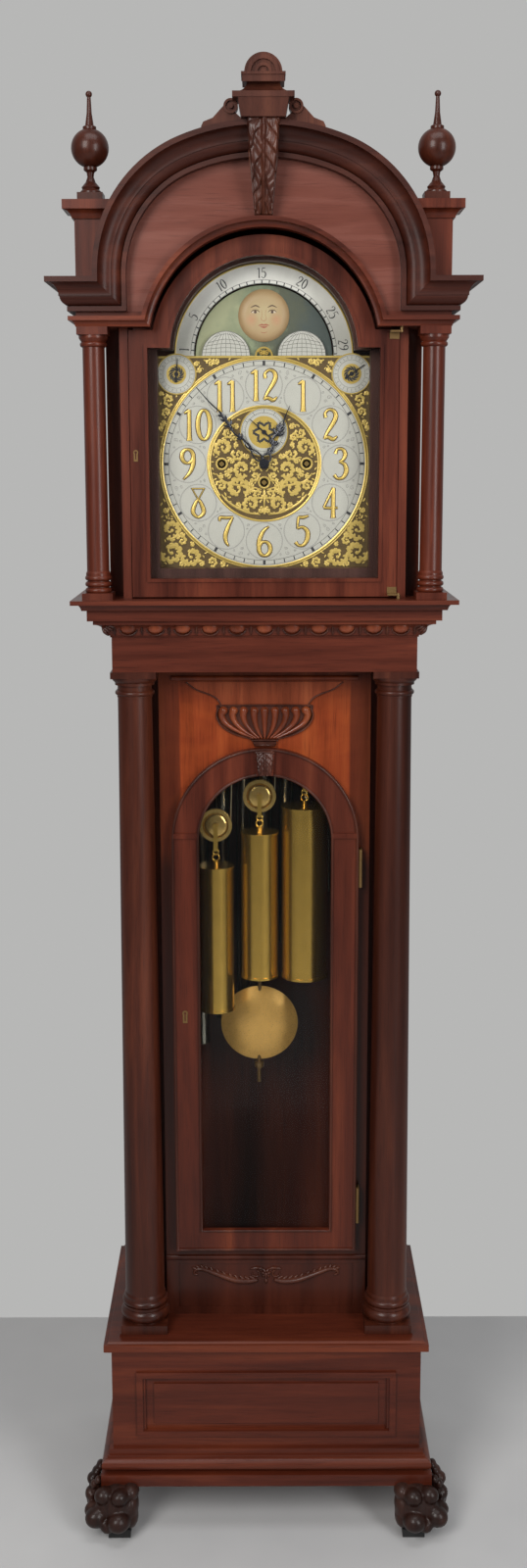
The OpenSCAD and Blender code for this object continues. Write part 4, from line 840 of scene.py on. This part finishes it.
# The beads round the trunk door's frame and round its glass
DOOR_ARCH_Z = 1149
door_beads = Relief()
for half, low in ((144.5, 461), (105.5, 494)):
    rise = [low + (DOOR_ARCH_Z - low) * k / 8 for k in range(8)]
    arch = [(-half * cos(pi * k / 48), DOOR_ARCH_Z + half * sin(pi * k / 48)) for k in range(49)]
    foot = [(half * (1 - 2 * k / 8), low) for k in range(1, 8)]
    edge = [(-half, z) for z in rise] + arch + [(half, z) for z in rise[::-1]] + foot
    tube(door_beads, [(x, z, 1.9) for x, z in edge], 14.7, 1.1, closed=True, steps=1)
door_beads.build("trunk_door_beads", wood_carved, "trunk_door", True, "mahogany")

# The gadrooned bowl on its foot, under the shaped field
BOWL_TOP = 1361
bowl = Relief()
shape = [(-75 * cos(pi * k / 24), BOWL_TOP - 52 * sin(pi * k / 24) ** 0.72) for k in range(25)]
bowl.add([[(x * (1 - f), z + (BOWL_TOP - z) * f, 0.2 + 4.5 * sqrt(f)) for x, z in shape]
          for f in [j / 6 for j in range(7)]], caps=False)
lobes, field = Relief(), Relief()
for i in range(9):
    s = (i - 4) / 4
    lean = abs(s) ** 1.6 * (1 if s > 0 else -1)
    tube(lobes, [(s * 61, 1359.0, 3.4), (s * 63, 1354.5, 6.6), (s * 63.5 + lean * 3.0, 1345, 5.2),
                 (s * 55 + lean * 3, 1331.5, 3.9), (s * 38, 1319, 2.6), (s * 17, 1309.5, 1.4)], 3.0, 1.2)
pair(bowl, [(70, 1358, 1.2), (74.5, 1345, 1.4), (66, 1328, 1.3), (46, 1316, 1.2), (20, 1308.5, 1.2)], 2, 2.2)
for half, z, w, rise, swell, p0, height in (
        (73, BOWL_TOP, 1.4, 0.6, 0.1, 3.0, 3.0), (21, 1306.5, 1.6, 0.4, 0.2, 2.0, 3.6),
        (18, 1302.5, 2.4, 0, 0.2, 1.0, 2.2)):
    tube(bowl, [(-half, z, w), (0, z + rise, w + swell), (half, z, w)], p0, height)
bowl.add([[(-17, z, 0), (-17, z, 7), (17, z, 7), (17, z, 0)] for z in (1297.5, 1301)])
# The shaped field over the bowl: a raised edge that follows its outline
FIELD = spline([(67, BOWL_TOP, 1.0), (71, 1368, 1.1), (78, 1374.5, 1.2), (90, 1380, 1.2), (106, 1386, 1.2),
                (121, 1397.5, 1.0)], 4)
pair(bowl, FIELD, 2.2, 1.6, steps=1)
field.add([[(-x, z, 0), (-x, z, 2.4), (x, z, 2.4), (x, z, 0)] for x, z, _ in FIELD])

# The swag: two leafy bands that sweep down to a blossom between small scrolls. Its panel is sunk,
# so it starts behind the trunk's face
SWAG_Z, SWAG_P = 410, -2.6
SWAG = spline([(14, 399, 3.4), (30, 396.5, 4.6), (50, 398.5, 5.0), (72, 406, 4.6), (92, 414, 3.9),
               (106, 418.5, 3.2), (116, 417, 2.6), (119, 410.5, 2.2), (113, 407.5, 1.5)], 4)
LEAFLET = ((0, 1.4), (0.35, 2.8), (0.7, 2.2), (1, 0.3))
pair(bowl, SWAG, SWAG_P - 0.2, 1.5, steps=1)
for k in range(1, 24, 2):
    x, z, _ = SWAG[k]
    nx, nz, _ = SWAG[k + 1]
    for lean, length in ((0.75, 14.0 - 0.2 * k), (-0.6, 8.0)):
        a = atan2(nz - z, nx - x) + lean
        pair(bowl, [(x + length * t * cos(a), z + length * t * sin(a), w) for t, w in LEAFLET],
             SWAG_P - 0.3, 1.2, steps=3, k=5)
curl = [(2 + 4.6 * k / 8, k / 8) for k in range(9)]
pair(bowl, [(17 + 6 * cos(a), SWAG_Z + 6.5 * sin(a) * (1 - 0.3 * t), 1.9 - 0.8 * t) for a, t in curl],
     SWAG_P, 1.7, steps=3)
pair(bowl, [(26, 417, 0.8), (22, 419, 1.8), (12, 420, 2.4), (3, 417, 1.2)], SWAG_P, 1.3)
PETAL = ((2, 2, 1.8), (5, 5.5, 2.7), (9, 10, 0.7))
for i in range(7):
    a = 2 * pi * i / 7 - pi / 2
    tube(bowl, [(rx * cos(a), SWAG_Z + rz * sin(a), w) for rx, rz, w in PETAL], SWAG_P, 1.5, steps=4)
tube(bowl, [(0, 401, 1.6), (0, 396, 2.8), (0, 391, 0.5)], SWAG_P, 1.3)
bowl.disc(0, SWAG_Z, 3, SWAG_P, 2.2, 1.4)
# The lobes and the field take the lighter mahogany with painted highlight
for art, name, timber, soft in ((bowl, "trunk_carving_relief", wood_carved, True),
                                (lobes, "bowl_lobes", wood_painted_highlight, True),
                                (field, "bowl_field", wood_painted_highlight, False)):
    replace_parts(art.build(name, timber, smooth=soft), "trunk_carvings")

# ---------------- feet, bob and egg course

PAD_TOP = 14


def remeshed(name, balls):
    """Balls of (x, p, z, rx, ry, rz, turn) grown into one carved skin that stands on the pad."""
    bm = bmesh.new()
    for x, p, z, rx, ry, rz, turn in balls:
        m = (Matrix.Translation((x * MM, at(p) * MM, z * MM)) @ Matrix.Rotation(turn, 4, "Z")
             @ Matrix.Diagonal((rx * MM, ry * MM, rz * MM, 1)))
        bmesh.ops.create_icosphere(bm, subdivisions=3, radius=1.0, matrix=m)
    rough = bpy.data.objects.new(name + "_balls", bpy.data.meshes.new(name + "_balls"))
    bm.to_mesh(rough.data)
    bm.free()
    bpy.context.scene.collection.objects.link(rough)
    mod = rough.modifiers.new("remesh", "REMESH")
    mod.mode, mod.voxel_size = "VOXEL", 1.6 * MM
    soft = rough.modifiers.new("smooth", "SMOOTH")
    soft.iterations, soft.factor = 5, 0.5
    mesh = bpy.data.meshes.new_from_object(rough.evaluated_get(bpy.context.evaluated_depsgraph_get()))
    bpy.data.objects.remove(rough)
    for v in mesh.vertices:
        v.co.z = max(v.co.z, PAD_TOP * MM)
    mesh.name = name
    mesh.materials.clear()
    o = placed(name, mesh, wood_foot)
    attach(o, "case")


# The right paw: its toes turn outwards, and the balls of its pad and leg stand straight
TOES = ((265, 108, 76, 15, 17, 15), (238, 114, 76, 14, 17, 14), (276, 112, 41, 18, 22, 18),
        (240, 126, 40, 18, 20, 17), (284, 98, 45, 13, 16, 14), (258, 120, 30, 12, 14, 13),
        (262, 104, 52, 18, 20, 22))
LEG = ((245, 95, 52, 32, 32, 38), (232, 98, 46, 22, 26, 32), (222, 96, 78, 14, 20, 14),
       (221, 98, 56, 12, 20, 20), (223, 99, 34, 13, 22, 19), (285, 76, 54, 13, 14, 22),
       (291, 80, 62, 8, 12, 12), (288, 66, 80, 9, 12, 10), (281, 62, 90, 8, 12, 9),
       (275, 58, 99, 7, 12, 8), (283, 88, 84, 6, 8, 8), (276, 92, 94, 5, 8, 7))
LEG += tuple((266 + 5.5 * k, 78 + 2 * k, 96 - 9 * k, 5, 9, 10) for k in range(5))
for name, side in (("left", -1), ("right", 1)):
    balls = [(side * x, *rest, side * turn) for group, turn in ((TOES, pi / 4), (LEG, 0))
             for x, *rest in group]
    remeshed("claw_foot_" + name, balls)
# The back feet: a block with a bracket that curves forward over its pad
FOOT_IN, FOOT_OUT, FOOT_FRONT, FOOT_BACK = 199, 269, -180, -258
blocks = Relief()
for side in (-1, 1):
    x0, x1 = side * FOOT_IN, side * FOOT_OUT
    blocks.add([[(x0, z, FOOT_FRONT), (x0, z, FOOT_BACK), (x1, z, FOOT_BACK), (x1, z, FOOT_FRONT),
                 (x0, z, FOOT_FRONT)] for z in (60, 104)])
    rows = []
    for i in range(9):
        a = pi / 2 * i / 8
        z, front = PAD_TOP + 46 * (1 - cos(a)), -206 + 26 * sin(a) ** 2
        rows.append([(x0, z, FOOT_BACK), (x1, z, FOOT_BACK), (x1, z, front), (x0, z, front),
                     (x0, z, FOOT_BACK)])
    blocks.add(rows)
bracket = blocks.build("back_feet", wood_foot, slot="dark_carving")
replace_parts(bracket, "feet")


def turned(name, cx, cz, profile, material, body):
    """A piece turned about an axis that runs front to back, from (radius, projection) points."""
    art = Relief()
    art.add([[(cx + r * cos(a), cz + r * sin(a), p) for r, p in profile]
             for a in [2 * pi * i / 72 for i in range(72)]], closed=True)
    return art.build(name, material, body, True)


BOB_P = -128  # middle of the bob
lens = spline([(0.05, 12.0), (16, 11.6), (32, 9.6), (46, 6.4), (57, 2.9), (62.6, 1.0), (64.5, 0.35)], 4)
lens = [(r, p + BOB_P) for r, p in lens] + [(r, BOB_P - p) for r, p in lens[::-1]]
bob = turned("bob_lens", -BOB_DROP * sin(SWING), PIVOT_Z - BOB_DROP * cos(SWING), lens, brass_bob, "pendulum")
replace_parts(bob, "pendulum_bob")

EGG_PITCH = 40.6


def egg_course(art, eggs, centres, ends):
    """Eggs in their shells with tongues between, on the cove under the ledge."""
    for x in centres:
        tube(eggs, [(x, 1498.5, 11.0), (x, 1493, 12.2), (x, 1487, 11.6), (x, 1482.5, 8.8), (x, 1479.8, 3.0)],
             70.5, 0.5, k=11)
        for s in (-1, 1):
            tube(art, [(x + s * 14.2, 1499, 1.1), (x + s * 14.4, 1490, 1.3), (x + s * 11.5, 1481.5, 1.3),
                       (x + s * 5, 1477.2, 1.2), (x, 1476.6, 1.1)], 67, 2.6)
    for x in ends:
        tube(art, [(x, 1498, 2.2), (x, 1490, 2.6), (x, 1482, 1.9), (x, 1476, 0.3)], 68, 2.2)


front_eggs, eggs = Relief(), Relief()
egg_course(front_eggs, eggs, [(i - 5) * EGG_PITCH for i in range(11)],
           [(i - 5.5) * EGG_PITCH for i in range(12)])
# A leaf of four ribs closes each front corner
for k in range(4):
    pair(front_eggs, [(232 - 3 * k, 1477 + 4 * k, 1.2), (238 - 2 * k, 1483 + 3 * k, 3.0),
                      (242 - 3 * k, 1492 + 1.5 * k, 1.0)], 72, 1.8, k=5)
front_eggs.build("egg_course_front", wood_carved, smooth=True, slot="mahogany")
# The eggs take the lighter mahogany with painted highlight
eggs.build("eggs_front", wood_painted_highlight, smooth=True, slot="mahogany")
# The side courses are drawn on the front plane, then turned round the corners
LEDGE_X, LEDGE_P = 229, 60
side_eggs = Relief()
egg_course(side_eggs, side_eggs, [34 + EGG_PITCH * i for i in range(6)],
           [13.7 + EGG_PITCH * i for i in range(7)])
for name, s in (("left", -1), ("right", 1)):
    o = side_eggs.build("egg_course_" + name, wood_carved, smooth=True, slot="mahogany")
    for v in o.data.vertices:
        along, out = v.co.x, at(LEDGE_P) * MM - v.co.y
        v.co.x, v.co.y = s * (LEDGE_X * MM + out), at(LEDGE_P) * MM + along

# ---------------- cables


def wire(name, path, r):
    """A round length of cable along points in millimetres, ringed at each point."""
    sides = 8
    pts = [Vector(q) for q in path]
    verts, faces = [], []
    for i, q in enumerate(pts):
        t = (pts[min(i + 1, len(pts) - 1)] - pts[max(i - 1, 0)]).normalized()
        a = t.cross(Vector((0, 1, 0))).normalized()
        b = t.cross(a)
        for k in range(sides):
            turn = 2 * pi * k / sides
            verts.append((q + r * (a * cos(turn) + b * sin(turn))) * MM)
        if i:
            n = (i - 1) * sides
            for k in range(sides):
                j = (k + 1) % sides
                faces.append((n + k, n + j, n + sides + j, n + sides + k))
    faces.append(tuple(range(sides))[::-1])
    faces.append(tuple(range((len(pts) - 1) * sides, len(pts) * sides)))
    mesh = bpy.data.meshes.new(name)
    mesh.from_pydata(verts, [], faces)
    o = placed(name, mesh, cable_metal)
    return o


# Middle and height of each weight's pulley, then of its drum
WEIGHTS = {"going": (-8.6, 1205.0, 0.0, DIAL_Z - 27.5), "strike": (-79.4, 1157.0, -63.5, DIAL_Z),
           "chime": (64.0, 1255.0, 63.5, DIAL_Z)}
GROOVE, DRUM_R, STUD, CABLE_Y = 24.5, 27.5, 22.0, at(-64)
for train, (x, z, drum_x, top) in WEIGHTS.items():
    ends = ((x - GROOVE, min(x - GROOVE, drum_x - DRUM_R), top - 3), (x + GROOVE, drum_x + STUD, top))
    strands = []
    for letter, (low, high, up) in zip("ab", ends):
        path = [(low + (high - low) * i / 24, CABLE_Y, z + (up - z) * i / 24) for i in range(25)]
        o = wire(f"{train}_strand_{letter}", path, 1.0)
        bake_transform(o)
        strands.append(o)
    for o in strands:
        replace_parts(o, train + "_cable")
    turned(f"{train}_dish", x, z, [(4.2, -59.8), (8.2, -60.1), (14, -60.8), (20.8, -61.55), (20.8, -61.6),
                                   (4.2, -61.6)], brass, train + "_sheave")

# ---------------- floor, light and camera


WALL = (0.474, 0.474, 0.468)
WALL_Y = 0.548  # where the wall starts, in metres


def floor_material():
    """Grey boards up to the wall's foot. Beyond it the floor shows the wall's own plain colour."""
    s = Shader("studio_floor")
    cloud = s.noise(s.place(), 1.6, 4.0, 0.6)
    col = s.mix(s.grey(cloud, 0.0, 1.0), (0.47, 0.47, 0.47), (0.40, 0.40, 0.405))
    s.set(Base_Color=col, Roughness=0.55)
    beyond = s.math("GREATER_THAN", s.axis("Y"), WALL_Y)
    seen = s.node("LightPath").outputs["Is Camera Ray"]
    glow = s.node("Emission", Color=(*WALL, 1.0))
    both = s.node("MixShader")
    for socket, value in enumerate((s.math("MULTIPLY", beyond, seen), s.bsdf.outputs[0], glow.outputs[0])):
        s.put(both.inputs[socket], value)
    s.put(s.tree.nodes["Material Output"].inputs["Surface"], both.outputs[0])
    return s.mat


bpy.ops.mesh.primitive_plane_add(size=40.0)
floor = bpy.context.object
floor.name = "studio_floor"
floor.data.materials.append(floor_material())

world = bpy.data.worlds.new("studio")
bpy.context.scene.world = world
world.use_nodes = True
sky = Nodes(world.node_tree)
split = sky.node("SeparateXYZ")
sky.put(split.inputs[0], sky.node("TexCoord").outputs["Generated"])
# The light that falls on the clock is darker from the room's side. The camera sees the plain wall
level = sky.grey(split.outputs["Y"], 0.16, 0.47, -0.5, 0.6)
seen = sky.node("LightPath").outputs["Is Camera Ray"]
sky.put(world.node_tree.nodes["Background"].inputs["Color"], sky.mix(seen, level, WALL))


def area(name, loc, aim, size, power, colour=(1, 1, 1)):
    """A rectangular light at loc that looks at aim."""
    data = bpy.data.lights.new(name, "AREA")
    data.shape = "RECTANGLE"
    data.size, data.size_y = size
    data.energy = power
    data.color = colour
    o = bpy.data.objects.new(name, data)
    bpy.context.scene.collection.objects.link(o)
    o.location = loc
    o.rotation_euler = (Vector(aim) - Vector(loc)).to_track_quat("-Z", "Y").to_euler()


area("key", (-1.5, -2.9, 2.9), (0, 0, 1.2), (1.3, 2.0), 110.0, (1.0, 0.98, 0.95))
area("fill", (1.9, -2.7, 2.1), (0, 0, 1.0), (1.0, 2.2), 70.0)
area("top", (0.1, -0.9, 3.9), (0, 0, 1.5), (2.0, 1.2), 30.0)

# The camera was fitted to the photograph: at eye level, looking down
TILT, ROLL = radians(90 - 11.2), radians(-0.14)
cam_data = bpy.data.cameras.new("camera")
cam_data.sensor_fit = "VERTICAL"
cam_data.sensor_height = 36.0
cam_data.lens = 38.25
cam = bpy.data.objects.new("camera", cam_data)
bpy.context.scene.collection.objects.link(cam)
cam.location = (-0.0021, -2.6017, 1.7413)
cam.rotation_mode = "QUATERNION"
cam.rotation_quaternion = (Matrix.Rotation(TILT, 4, "X") @ Matrix.Rotation(ROLL, 4, "Z")).to_quaternion()
bpy.context.scene.camera = cam
scene = bpy.context.scene
scene.render.resolution_x, scene.render.resolution_y = 538, 1600
scene.view_settings.view_transform = "Standard"
